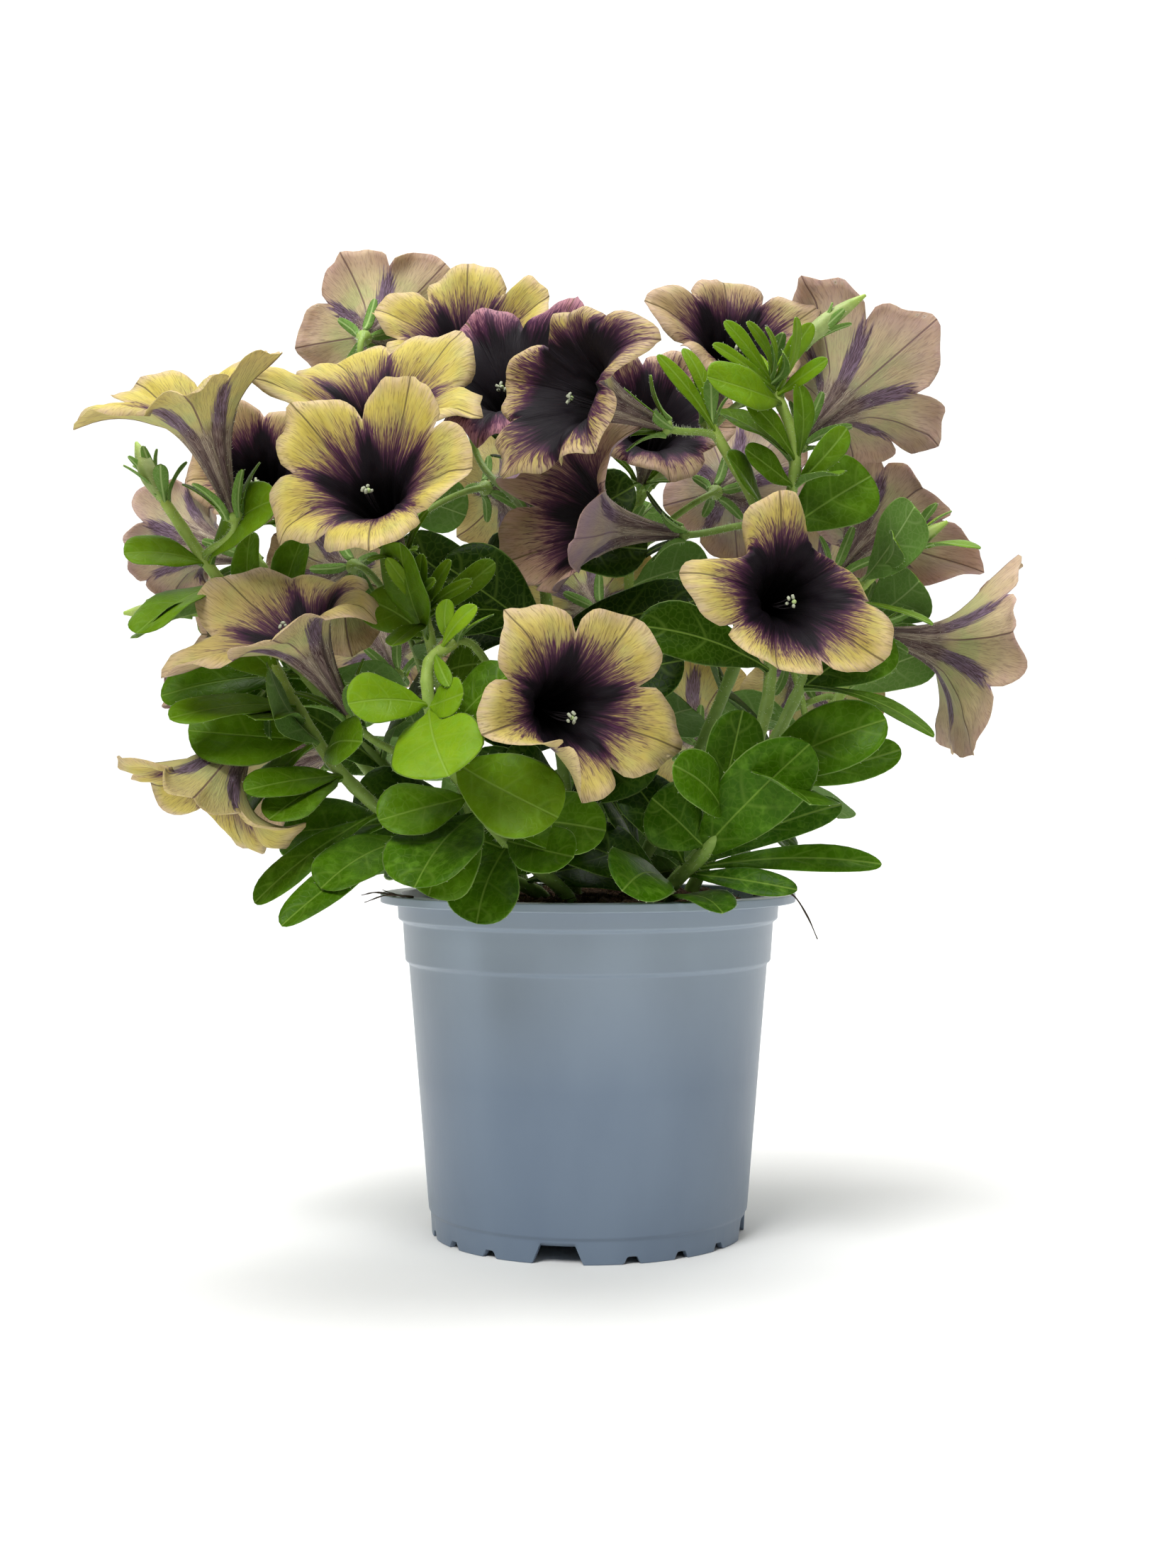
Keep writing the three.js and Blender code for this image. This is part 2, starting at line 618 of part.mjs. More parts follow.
// A stalk with its calyx, from the calyx down to the stem. The sepals are spikes round a shallow
// cup, whose rim is the stalk's first ring.
function stalkSolid(curve, bloom, extra = 0) {
  const places = [1, 0.92, 0.65, 0.33, 0];
  const radii = places.map((t) => (t === 1 ? CALYX_RADIUS : STALK_RADIUS) + extra);
  const centres = places.map((t) => curve.getPoint(t));
  const turn = radians(bloom.turn);
  const across = bloom.right.clone().multiplyScalar(Math.cos(turn))
    .addScaledVector(bloom.over, Math.sin(turn));
  const { points, faces } = barWall(centres, radii, LOBES, across);
  const [middle] = centres;
  const rim = points.slice(0, LOBES);
  const lean = radians(SEPAL_SPREAD);
  const tips = points.length;
  const inner = tips + LOBES;
  const outward = rim.map((point, j) => (
    point.clone().add(rim[(j + 1) % LOBES]).addScaledVector(middle, -2).normalize()
  ));
  outward.forEach((direction) => points.push(middle.clone()
    .addScaledVector(direction, CALYX_RADIUS + SEPAL_LENGTH * Math.sin(lean))
    .addScaledVector(bloom.facing, SEPAL_LENGTH * Math.cos(lean))));
  outward.forEach((direction) => points.push(middle.clone()
    .addScaledVector(direction, CALYX_CUP_RADIUS - extra)));
  for (let j = 0; j < LOBES; j += 1) {
    const k = (j + 1) % LOBES;
    faces.push(
      [k, j, tips + j], [tips + j, j, inner + j], [k, tips + j, inner + j],
      [k, inner + j, inner + k],
    );
    if (j > 0 && k > 0) faces.push([inner, inner + k, inner + j]);
  }
  return solid(points, faces);
}

// A closed bud is a spindle on a thin stalk
function budBar(curve, at, tipPlace, length) {
  const start = curve.getPoint(at);
  const tip = vector(tipPlace);
  const leaving = start.clone().addScaledVector(curve.getTangent(at), 0.4 * tip.distanceTo(start));
  const route = new THREE.QuadraticBezierCurve3(start, leaving, tip);
  const share = Math.min(0.8, length / route.getLength());
  const places = [0, 0.5 * (1 - share), 1 - share, 1 - 0.6 * share, 1 - 0.25 * share, 1];
  const radii = [0.9, 0.9, 1.4, 2.7, 2, 0.5];
  return bar(places.map((t) => route.getPoint(t)), radii, BUD_SIDES);
}

function bloomFrom([at, throat, facing, radius, turn, bends, notch, reaches = EVEN_REACHES]) {
  const direction = vector(facing).normalize();
  const right = up.clone().cross(direction).normalize();
  const over = direction.clone().cross(right);
  return {
    at, throat: vector(throat), facing: direction, right, over, radius, turn, bends, notch, reaches,
  };
}

// Leaves turn their upper face outwards, where the light comes from, more than upwards
function facingOut(foot) {
  return new THREE.Vector3(foot.x, foot.y, 0).normalize().multiplyScalar(0.85)
    .addScaledVector(up, 0.55);
}

// Leaves set by rule: a spiral up the stem, turned towards the outside, lower ones longer
function ringBlades(curve, [count, firstTurn, lowest, highest], seed) {
  const draw = draws(seed);
  return Array.from({ length: count }, (_, i) => {
    const at = lerp(lowest, highest, count > 1 ? i / (count - 1) : 0);
    const foot = curve.getPoint(at);
    const angle = radians(firstTurn + TURN * i);
    const outside = new THREE.Vector3(foot.x, foot.y, 0).normalize().multiplyScalar(0.5);
    const heading = new THREE.Vector3(Math.cos(angle), Math.sin(angle), 0).add(outside).normalize();
    const length = lerp(42, 29, at) * (0.85 + 0.3 * draw());
    const rise = radians(lerp(-12, 24, at) + 70 * (draw() - 0.5));
    const tip = foot.clone()
      .addScaledVector(heading, length * Math.cos(rise))
      .addScaledVector(up, length * Math.sin(rise));
    return {
      foot, tip, face: facingOut(foot), width: length * (0.54 + 0.14 * draw()), rows: MIDDLE_ROWS,
    };
  });
}

// The tuft of young leaves at a stem's end
function tuftBlades(curve, seed) {
  const draw = draws(seed);
  const foot = curve.getPoint(0.985);
  const along = curve.getTangent(1);
  return Array.from({ length: 4 }, (_, i) => {
    const angle = radians(90 * i + 40 * draw());
    const heading = new THREE.Vector3(Math.cos(angle), Math.sin(angle), 0);
    const length = 13 + 5 * draw();
    const tip = foot.clone()
      .addScaledVector(heading, 0.65 * length)
      .addScaledVector(along, 0.45 * length)
      .addScaledVector(up, 0.45 * length);
    return { foot, tip, width: 4.2, fold: 0, rows: SMALL_ROWS };
  });
}

// Leaves with a place of their own, which look to the front as well
function keyBlades(curve, leaves) {
  return leaves.map(([at, tip, width]) => ({
    foot: curve.getPoint(at),
    tip: vector(tip),
    face: facingOut(vector(tip)).addScaledVector(front, 0.7),
    width,
    rows: width > 15 ? LARGE_ROWS : MIDDLE_ROWS,
  }));
}

function notchCutter({ foot, top, height }) {
  const outline = new THREE.Shape([
    new THREE.Vector2(-foot / 2 - 0.5, -1), new THREE.Vector2(foot / 2 + 0.5, -1),
    new THREE.Vector2(foot / 2, 0), new THREE.Vector2(top / 2, height),
    new THREE.Vector2(-top / 2, height), new THREE.Vector2(-foot / 2, 0),
  ]);
  const cutter = new THREE.ExtrudeGeometry(outline, { depth: 8, bevelEnabled: false });
  return cutter.translate(0, 0, FOOT_RADIUS - FOOT_WALL - 1.5).rotateX(Math.PI / 2);
}

function potSolid() {
  const inner = BASE_RADIUS - WALL;
  const floor = FLOOR_UNDERSIDE + 1.4;
  const stepInner = STEP_RADIUS - WALL;
  const outline = [
    [0, FLOOR_UNDERSIDE], [FOOT_RADIUS - FOOT_WALL, FLOOR_UNDERSIDE], [FOOT_RADIUS - FOOT_WALL, 0],
    [FOOT_RADIUS, 0], [FOOT_RADIUS + 0.4, BASE_HEIGHT - 1], [BASE_RADIUS, BASE_HEIGHT],
    [STEP_RADIUS - 1.1, STEP_HEIGHT - 1], [STEP_RADIUS, STEP_HEIGHT],
    [STEP_RADIUS + 0.8, BAND_FOOT - 1], [BAND_RADIUS - 0.4, BAND_FOOT],
    [BAND_RADIUS, POT_HEIGHT - RIM_SHEET], [RIM_RADIUS - 1.2, POT_HEIGHT - RIM_SHEET],
    [RIM_RADIUS - 1.1, POT_HEIGHT - RIM_LIP], [RIM_RADIUS, POT_HEIGHT - RIM_LIP],
    [RIM_RADIUS, POT_HEIGHT], [BAND_RADIUS - WALL, POT_HEIGHT], [stepInner, BAND_FOOT - 1.4],
    [stepInner - 1.1, STEP_HEIGHT - 1], [inner, floor], [0, floor],
  ].map(([r, z]) => new THREE.Vector2(r, z));
  const body = new THREE.LatheGeometry(outline, POT_SEGMENTS).rotateX(Math.PI / 2);
  let pot = solidFrom(body);
  for (let quarter = 0; quarter < FOOT_QUARTERS; quarter += 1) {
    const start = WIDE_NOTCH.turn + (quarter * 360) / FOOT_QUARTERS;
    const wide = notchCutter(WIDE_NOTCH).rotateZ(radians(start));
    pot = pot.subtract(solidFrom(wide));
    SMALL_NOTCHES.forEach((offset) => {
      pot = pot.subtract(solidFrom(notchCutter(SMALL_NOTCH).rotateZ(radians(start + offset))));
    });
  }
  for (let k = 0; k < DRAIN_COUNT; k += 1) {
    const hole = new THREE.CylinderGeometry(DRAIN_RADIUS, DRAIN_RADIUS, 6, 12).rotateX(Math.PI / 2)
      .translate(DRAIN_CIRCLE, 0, FLOOR_UNDERSIDE)
      .rotateZ(radians(45 + (k * 360) / DRAIN_COUNT));
    pot = pot.subtract(solidFrom(hole));
  }
  return pot;
}

// Height of the peat: a low mound with lumps
function peatHeight(x, y, edge) {
  const out = Math.hypot(x, y) / edge;
  const lumps = 0.9 * Math.sin(0.19 * x + 0.6) * Math.cos(0.23 * y) + 0.6 * Math.sin(0.41 * x - 0.33 * y);
  return PEAT_EDGE + PEAT_RISE * (1 - out ** 4) + lumps;
}

function soilSolid() {
  const floor = FLOOR_UNDERSIDE + 1.4 + GAP;
  const stepInner = STEP_RADIUS - WALL;
  const wall = [
    [BASE_RADIUS - WALL - 2 * GAP, floor],
    [stepInner - 1.1 - 2 * GAP, STEP_HEIGHT - 1],
    [stepInner - 1.1 - GAP, BAND_FOOT - 2],
  ];
  const edge = wall.at(-1)[0];
  const rings = wall.map(([r, z]) => ({ r, height: () => z }));
  for (let k = PEAT_RINGS; k > 0; k -= 1) {
    rings.push({ r: (edge * k) / PEAT_RINGS, height: (x, y) => peatHeight(x, y, edge) });
  }
  const points = [];
  const rows = rings.map(({ r, height }) => Array.from({ length: PEAT_SEGMENTS }, (_, j) => {
    const angle = (2 * Math.PI * j) / PEAT_SEGMENTS;
    const x = r * Math.cos(angle);
    const y = r * Math.sin(angle);
    points.push(new THREE.Vector3(x, y, height(x, y)));
    return points.length - 1;
  }));
  const top = points.push(new THREE.Vector3(0, 0, peatHeight(0, 0, edge))) - 1;
  const bottom = points.push(new THREE.Vector3(0, 0, floor)) - 1;
  const faces = rows.slice(1).flatMap((row, i) => ringFaces(rows[i], row));
  for (let j = 0; j < PEAT_SEGMENTS; j += 1) {
    const k = (j + 1) % PEAT_SEGMENTS;
    faces.push([rows.at(-1)[j], rows.at(-1)[k], top], [rows[0][k], rows[0][j], bottom]);
  }
  return solid(points, faces);
}

// Everything placed so far: the pieces of each node with their boxes
const placed = [];

function place(node, shape) {
  placed.push({ node, shape, box: shape.boundingBox() });
}

function boxesMeet(a, b) {
  return [0, 1, 2].every((i) => a.min[i] <= b.max[i] && b.min[i] <= a.max[i]);
}

// Whether a shape is clear of every piece of the other nodes
function isClear(node, shape) {
  const box = shape.boundingBox();
  return placed.every((other) => (
    other.node === node || !boxesMeet(box, other.box) || shape.intersect(other.shape).isEmpty()
  ));
}

const stems = STEMS.map((stem) => ({
  ...stem,
  name: `stem_${stem.place}`,
  curve: stemCurve(stem.path),
  blooms: stem.blooms.map(bloomFrom),
  parts: [],
}));

const pot = potSolid();
let soil = soilSolid();
stems.forEach(({ curve }) => {
  soil = soil.subtract(stemBar(curve, CLEARANCE));
});
place('pot', pot);
place('soil', soil);

const corollas = stems.flatMap((stem) => stem.blooms.map((bloom, i) => ({
  name: `bloom_${stem.place}_${i + 1}`,
  shape: corollaSolid(bloom),
})));
corollas.forEach(({ name, shape }) => place(name, shape));

function grow(stem, shape) {
  stem.parts.push(shape);
  place(stem.name, shape);
}

stems.forEach((stem) => grow(stem, stemBar(stem.curve)));
stems.forEach((stem) => {
  stem.blooms.forEach((bloom) => {
    const curves = STALK_TRIES.map((bow) => stalkCurve(stem.curve, bloom.at, bloom, bow));
    const free = curves.find((curve) => isClear(stem.name, stalkSolid(curve, bloom, CLEARANCE)));
    grow(stem, stalkSolid(free ?? curves[0], bloom));
  });
  stem.buds.forEach((bud) => grow(stem, budBar(stem.curve, ...bud)));
});

// Each blade takes the first of its tries that is clear, and is left out where none is
function growBlade(stem, blade) {
  const free = BLADE_TRIES.map((change) => bladeTry(blade, change))
    .find((changed) => isClear(stem.name, bladeSolid(changed, CLEARANCE)));
  if (free) grow(stem, bladeSolid(free));
}

stems.forEach((stem) => {
  keyBlades(stem.curve, stem.leaves).forEach((blade) => growBlade(stem, blade));
});
stems.forEach((stem, i) => {
  tuftBlades(stem.curve, TUFT_SEED + i).forEach((blade) => growBlade(stem, blade));
});
stems.forEach((stem, i) => {
  ringBlades(stem.curve, stem.ring, RING_SEED + i).forEach((blade) => growBlade(stem, blade));
});

const plastic = new THREE.MeshStandardMaterial({ color: 0x7b8a98, roughness: 0.4, metalness: 0 });
const peat = new THREE.MeshStandardMaterial({ color: 0x3b2c20, roughness: 0.95, metalness: 0 });
const green = new THREE.MeshStandardMaterial({ color: 0x5c9a3a, roughness: 0.5, metalness: 0 });
const petal = new THREE.MeshStandardMaterial({ color: 0xb9a350, roughness: 0.6, metalness: 0 });

const plant = new THREE.Group();
plant.add(meshOf(pot, 'pot', plastic));
plant.add(meshOf(soil, 'soil', peat));
stems.forEach(({ name, parts }) => {
  const fused = wasm.Manifold.union(parts).asOriginal().simplify(FUSE_TOLERANCE);
  plant.add(meshOf(fused, name, green));
});
corollas.forEach(({ name, shape }) => plant.add(meshOf(shape, name, petal)));

export default plant;
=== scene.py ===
from functools import partial
import math

import bpy
import numpy as np
from mathutils import Matrix


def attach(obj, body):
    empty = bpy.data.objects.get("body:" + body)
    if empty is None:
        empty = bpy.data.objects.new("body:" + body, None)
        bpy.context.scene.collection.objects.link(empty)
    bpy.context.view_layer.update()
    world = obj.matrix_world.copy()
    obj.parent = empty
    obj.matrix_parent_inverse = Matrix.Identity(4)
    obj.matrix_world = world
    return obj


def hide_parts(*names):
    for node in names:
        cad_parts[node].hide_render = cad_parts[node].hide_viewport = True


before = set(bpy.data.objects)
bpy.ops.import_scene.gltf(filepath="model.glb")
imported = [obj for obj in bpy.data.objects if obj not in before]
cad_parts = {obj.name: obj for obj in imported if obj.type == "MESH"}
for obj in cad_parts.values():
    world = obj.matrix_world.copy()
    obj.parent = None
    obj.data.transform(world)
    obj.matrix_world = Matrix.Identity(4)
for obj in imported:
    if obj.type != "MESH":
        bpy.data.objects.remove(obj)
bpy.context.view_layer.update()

# Potted petunia in bloom. Lengths are millimetres until a mesh is made, +Z up, front towards -Y.
MM = 0.001
TAU = 2 * math.pi
UP = np.array([0.0, 0.0, 1.0])
FRONT = np.array([0.0, -1.0, 0.0])

# Camera: level, in front of the pot, at the photograph's distance
CAMERA_PLACE = (0, -640, 140)
CAMERA_LENS = 46.7
SENSOR = 36

# Pot: radii are outer ones unless named otherwise
POT_HEIGHT = 106
RIM_RADIUS = 65
RIM_LIP = 2.6
RIM_SHEET = 1.2
BAND_RADIUS = 59.8
BAND_FOOT = 98.2
STEP_RADIUS = 57.2
STEP_HEIGHT = 85.2
BASE_RADIUS = 49.9
BASE_HEIGHT = 8
FOOT_RADIUS = 48.9
FOOT_INSIDE = 46.9
FLOOR_UNDERSIDE = 5.2
FLOOR_TOP = 6.6
WALL = 1.3
POT_COLUMNS = 480
DRAIN_RADIUS = 4
DRAIN_CIRCLE = 34
DRAIN_RAYS = 96

# Foot notches, as angles from the front towards the right, with the widths at foot and top
NOTCHES = [(-10.6, 15.2, 10.3, 6)] + [(turn, 5, 3, 2.2) for turn in (15.4, 34.4, 53.4)]

# Peat: a low mound under the rim's level at the wall
PEAT_EDGE = 100
PEAT_RISE = 5.5
PEAT_RADIUS = 54.7
PEAT_COLUMNS = 180
CRUMBS = 1600
FIBRES = 700
GROUND_SEED, CRUMB_SEED, FIBRE_SEED = 5, 11, 12

# Stems, stalks and calyx
ROOT_DEPTH = 92
PEAT_LEVEL = 106
STEM_FOOT_RADIUS = 2.2
STEM_TIP_RADIUS = 1.6
STALK_RADIUS = 1.1
CALYX_RADIUS = 3.3
CALYX_GAP = 0.4
SEPAL_LENGTH = 15
SEPAL_SPREAD = 35

# Blades
BLADE_HALF_THICKNESS = 0.35
ARCH = 0.08
FOLD = 0.25
TURN = 137.508
TUFT_SEED = 40
RING_SEED = 80
HAIR_RADIUS = 0.045

# Corolla: a trumpet of five fused petals
LOBES = 5
TUBE_LENGTH = 36
TUBE_RADII = (1.3, 4, 7)
THROAT_RADIUS = 9

# Bend of each lobe and depth of the notches for blooms at the side and behind
SIDE_FORM = ((0, 0.3, 0.1, -0.1, 0.2), 0.28)
BACK_FORM = ((0.2, 0, 0.2, 0.1, 0), 0.28)

# Stems from the left round to the back. The path starts in the peat.
# blooms: place on the stem, throat centre, facing, limb radius, turn of the first lobe in degrees,
#   bend of each lobe in radians (forwards positive), depth of the notches between them, tone, and the
#   lobes' lengths against the radius where they differ. The tone is how yellow the limb is, how far
#   the dark throat reaches over it and how rosy the limb is, all from 0 to 1.
# folds: for the bloom with this number, its folded rims: angle from the first lobe and half width in
#   degrees, and how far the rim is curled forwards
# leaves: place on the stem, tip, width
# fine: such leaves that are too slim or too deep inside the plant for the frame
# crown: place of the crown of leaves on a stem that runs on beyond it
# trimmed: a leaf that would poke through a petal at full size: its number on the stem, its size
# buds: place on the stem, tip, length
# ring: number of leaves set by rule, the first one's turn in degrees, lowest and highest place
STEMS = {
    "left": dict(
        path=[(-22, -8), (-50, -18, 132), (-84, -34, 172), (-106, -50, 198), (-122, -58, 222)],
        blooms=[
            (0.84, (-109, -78, 249), (-0.26, -0.24, 0.93), 29, 249, (0.1, -0.3, 0.6, 0.1, 0.6), 0.5,
             (0.95, 0.1, 0), (1.25, 0.93, 0.9, 1, 1.03)),
        ],
        leaves=[
            (0.84, (-131, -66, 205), 13), (0.8, (-126, -72, 182), 17), (0.84, (-86, -76, 219), 17),
            (0.6, (-112, -64, 160), 16), (0.45, (-92, -58, 164), 17),
        ],
        fine=[(0.65, (-84, -42, 212), 15), (0.7, (-99, -42, 214), 11)],
        buds=[(0.97, (-131, -50, 239), 20), (0.66, (-136, -44, 190), 17)],
        ring=(5, 60, 0.2, 0.75),
    ),
    "left_low": dict(
        path=[(-14, -24), (-46, -48, 122), (-70, -54, 142), (-84, -52, 162), (-92, -48, 176)],
        blooms=[
            (0.84, (-110, -62, 135), (-0.5, -0.25, -0.83), 28, 90, (0.5, 0.1, 0.1, -0.4, 0.4), 0.48,
             (0.85, 0.1, 0), (0.94, 1, 1, 1.1, 0.96)),
        ],
        leaves=[
            (0.8, (-122, -66, 158), 13), (0.75, (-93, -72, 158), 17), (0.66, (-63, -80, 161), 14),
            (0.6, (-89, -72, 130), 16), (0.6, (-96, -72, 138), 12), (0.42, (-84, -82, 101), 12),
            (0.42, (-74, -76, 111), 18), (0.5, (-95, -60, 106), 11), (0.7, (-114, -50, 122), 13),
            (0.7, (-112, -40, 150), 22),
        ],
        ring=(4, 20, 0.25, 0.9),
    ),
    "front": dict(
        path=[
            (-6, -34), (-22, -56, 122), (-32, -72, 136), (-40, -84, 150), (-43, -89, 162),
            (-43, -88, 173), (-36, -84, 179),
        ],
        blooms=[
            (0.98, (-3, -95, 161), (0.45, -0.89, 0.01), 29, 52, (-0.1, -0.6, -0.2, 0.2, 0.1), 0.48,
             (0.75, 0.25, 0), (1, 1.09, 1, 0.83, 1.13)),
        ],
        folds={1: [(180, 26, 3.4)]},
        leaves=[
            (0.69, (-36, -114, 142), 24), (0.7, (-63, -106, 161), 15), (0.7, (-33, -100, 164), 11),
            (0.54, (-8, -96, 131), 22), (0.39, (-44, -79, 109), 23), (0.29, (-31, -73, 101), 20),
            (0.3, (-4, -84, 120), 15), (0.43, (-57, -86, 130), 16), (0.36, (5, -76, 127), 17),
            (0.97, (-38, -90, 190), 5), (0.93, (-30, -92, 188), 5),
        ],
        fine=[(0.9, (-37, -97, 166), 4)],
        crown=0.69,
        trimmed=(17, 0.8),
        ring=(3, 100, 0.21, 0.57),
    ),
    "hero": dict(
        path=[(-26, -18), (-36, -38, 136), (-42, -52, 166), (-47, -62, 190)],
        blooms=[
            (0.98, (-60, -92, 224), (-0.2, -0.83, 0.53), 29, 356, (0.3, 0.8, 0.6, -0.6, 0.1), 0.4,
             (0.9, 0.2, 0), (1.12, 1, 1.01, 1.02, 1.01)),
            (0.94, (-62, -42, 256), (0.04, -0.59, 0.81), 31, 46, (0.5, -0.3, 0.3, 0.4, -0.1), 0.35,
             (0.9, 0.15, 0), (1.18, 0.99, 1.25, 0.92, 1.04)),
            (0.5, (-84, -77, 188), (-0.45, -0.42, 0.79), 29, 97, (-0.9, 0.8, 0.1, 0, -1.5), 0.28,
             (0.5, 0.15, 0), (1, 1.08, 1.28, 0.85, 1.02)),
        ],
        folds={3: [(250, 30, 0.8)]},
        leaves=[
            (0.95, (-54, -80, 178), 8), (0.9, (-64, -56, 193), 13), (0.99, (-38, -76, 202), 5),
            (0.97, (-26, -70, 202), 8), (0.99, (-46, -74, 204), 5), (0.8, (-30, -66, 174), 15),
        ],
        fine=[(0.99, (-56, -74, 203), 4.5), (0.99, (-42, -80, 196), 4), (0.98, (-32, -78, 196), 4.5)],
        ring=(5, 10, 0.25, 0.9),
    ),
    "knee": dict(
        path=[(22, -34), (37, -60, 126), (52, -46, 162), (54, -30, 196), (52, -34, 218), (35, -44, 247)],
        blooms=[
            (0.96, (-7, -72, 252), (-0.81, -0.53, 0.25), 28, 26, (-0.8, 0, 0.4, 0.3, -0.1), 0.46,
             (0.85, 0.62, 0), (1.23, 0.65, 1.01, 1.06, 1.08)),
            (0.55, (58, -80, 194), (0.28, -0.95, 0.13), 29, 29, (-1.5, 0.9, -0.1, 1, 0.3), 0.42,
             (0.85, 0.36, 0), (1.06, 0.89, 1.22, 1.1, 1.04)),
            (0.8, (-5, -42, 217), (-0.91, -0.41, 0.05), 28, 53, (-0.6, 1.9, 0.5, 0.9, 1), 0.46,
             (0.1, 0.3, 0.25), (1.39, 1.17, 1.27, 0.65, 1.14)),
        ],
        folds={2: [(32, 26, -3.0), (108, 21, -3.2)]},
        leaves=[
            (0.35, (23, -90, 145), 15), (0.26, (61, -80, 151), 20), (0.25, (84, -58, 117), 8),
            (0.24, (59, -66, 110), 8), (0.15, (49, -66, 104), 14), (0.2, (-5, -80, 111), 20),
            (0.4, (83, -74, 158), 18), (0.4, (91, -48, 150), 11), (0.55, (14, -62, 185), 17),
            (0.3, (44, -60, 161), 16), (0.3, (18, -64, 136), 20), (0.97, (20, -52, 264), 5),
            (0.99, (28, -42, 268), 5), (0.25, (74, -46, 134), 10),
        ],
        fine=[(0.25, (12, -40, 142), 17)],
        ring=(4, 150, 0.2, 0.8),
    ),
    "right_crown": dict(
        path=[(12, -10), (34, -16, 150), (52, -20, 196), (62, -32, 236), (54, -32, 262)],
        blooms=[
            (0.92, (47, -10, 280), (0.23, -0.75, 0.62), 27, 88, (0.1, 0, 0.3, -0.3, 0.4), 0.46,
             (0.15, 0.32, 0.03), (0.93, 1.16, 0.87, 0.7, 0.96)),
            (0.76, (86, 8, 267), (0.57, 0.56, 0.6), 31, 157, (0.3, 0.2, 0.3, 0.1, 0.2), 0.42,
             (0.25, 0.15, 0.05), (1.11, 0.97, 1.09, 1, 1.25)),
        ],
        leaves=[
            (0.93, (34, -60, 256), 14), (0.76, (46, -44, 238), 10), (0.76, (77, -34, 246), 8),
            (0.8, (62, -40, 258), 8), (0.76, (73, -48, 230), 10), (0.97, (40, -42, 276), 6),
            (0.97, (66, -40, 276), 6),
        ],
        fine=[
            (0.98, (46, -50, 274), 4.5), (0.98, (51, -56, 271), 4), (0.96, (60, -52, 275), 4.5),
            (0.95, (70, -46, 264), 5), (0.96, (36, -52, 267), 5), (0.98, (56, -56, 264), 4),
            (0.8, (46, -44, 253), 8),
        ],
        buds=[(0.9, (84, -24, 288), 22)],
        ring=(6, 200, 0.25, 0.8),
    ),
    "right": dict(
        path=[(32, -4), (50, -12, 138), (66, -8, 170), (80, -4, 196), (104, 0, 218)],
        blooms=[
            (0.8, (99, 54, 231), (0.48, 0.63, 0.61), 30, 79, (-0.5, -0.6, 0.1, 0.1, 0.6), 0.36,
             (0.1, 0.25, 0.05), (0.88, 0.9, 1.31, 1, 1.14)),
            (0.6, (127, 35, 184), (0.97, 0.14, -0.18), 32, 100, (0.5, 0.3, 0, 0.1, 1), 0.28,
             (0.35, 0.15, 0), (1.05, 1, 1.2, 1.3, 1.1)),
        ],
        leaves=[
            (0.8, (104, -26, 188), 6), (0.6, (103, -34, 154), 8), (0.45, (70, -40, 146), 10),
            (0.95, (120, -18, 212), 7), (0.9, (92, -28, 214), 9),
        ],
        buds=[(0.8, (111, -12, 221), 22)],
        ring=(6, 320, 0.2, 0.85),
    ),
    "centre": dict(
        path=[(-4, -14), (-8, -26, 150), (-12, -22, 190), (-16, -16, 220)],
        blooms=[
            (0.97, (-26, -24, 265), (-0.2, -0.68, 0.7), 30, 52, (0.6, 0.2, -0.3, -0.4, 0.6), 0.28,
             (0.05, 0.7, 0.85), (1.07, 1.02, 0.85, 1.05, 1.33)),
            (0.9, (-40, 12, 286), (-0.02, -0.72, 0.69), 29, 90, (0.3, 0.2, 0.1, 0.1, 0.8), 0.41,
             (0.9, 0.25, 0), (1.01, 1.04, 1, 1, 1.07)),
        ],
        leaves=[
            (0.93, (6, -44, 206), 20), (0.9, (-46, -40, 200), 25), (0.75, (-58, -46, 186), 21),
            (0.72, (32, -42, 194), 18), (0.58, (28, -48, 176), 22), (0.5, (-36, -50, 168), 21),
            (0.42, (22, -54, 154), 20), (0.35, (-34, -54, 148), 19), (0.7, (-44, -34, 206), 24),
            (0.8, (-28, -36, 214), 20), (0.97, (14, -26, 230), 18),
        ],
        fine=[(0.7, (-56, -30, 213), 18), (0.42, (-24, -54, 147), 17)],
        ring=(5, 75, 0.2, 0.9),
    ),
    "far_left": dict(
        path=[(-36, 8), (-66, 4, 140), (-92, 4, 174), (-108, 14, 196)],
        blooms=[
            (0.95, (-106, 5, 241), (-0.1, -0.93, 0.35), 22, 50, *SIDE_FORM, (0.2, 0.3, 0.05)),
            (0.9, (-130, 8, 218), (-0.75, 0.6, 0.25), 20, 50, *SIDE_FORM, (0.3, 0.2, 0.1)),
            (0.7, (-120, -14, 182), (-0.9, -0.1, 0.4), 22, 10, *SIDE_FORM, (0.1, 0.2, 0.15)),
        ],
        trimmed=(7, 0.7),
        ring=(8, 40, 0.18, 0.95),
    ),
    "back_left": dict(
        path=[(-20, 20), (-46, 34, 150), (-62, 40, 206), (-70, 40, 244)],
        blooms=[
            (0.97, (-69, 48, 293), (0.08, 0.96, 0.27), 29, 63, (-0.1, 0.1, 0.1, 0.1, 0.1), 0.37,
             (0.3, 0.15, 0), (0.95, 1.06, 1, 1, 1.02)),
            (0.8, (-24, 84, 244), (0.3, 0.95, 0.1), 27, 40, *SIDE_FORM, (0.85, 0.25, 0)),
            (0.6, (-84, 30, 206), (-0.3, 0.95, -0.05), 24, 40, *SIDE_FORM, (0.45, 0.25, 0)),
        ],
        buds=[(0.98, (-92, 52, 262), 17)],
        ring=(8, 120, 0.2, 0.95),
    ),
    "back": dict(
        path=[(4, 22), (12, 44, 150), (14, 58, 196), (14, 64, 226)],
        blooms=[
            (0.97, (22, 30, 262), (0.1, -0.85, 0.5), 27, 60, *BACK_FORM, (0.1, 0.5, 0.1)),
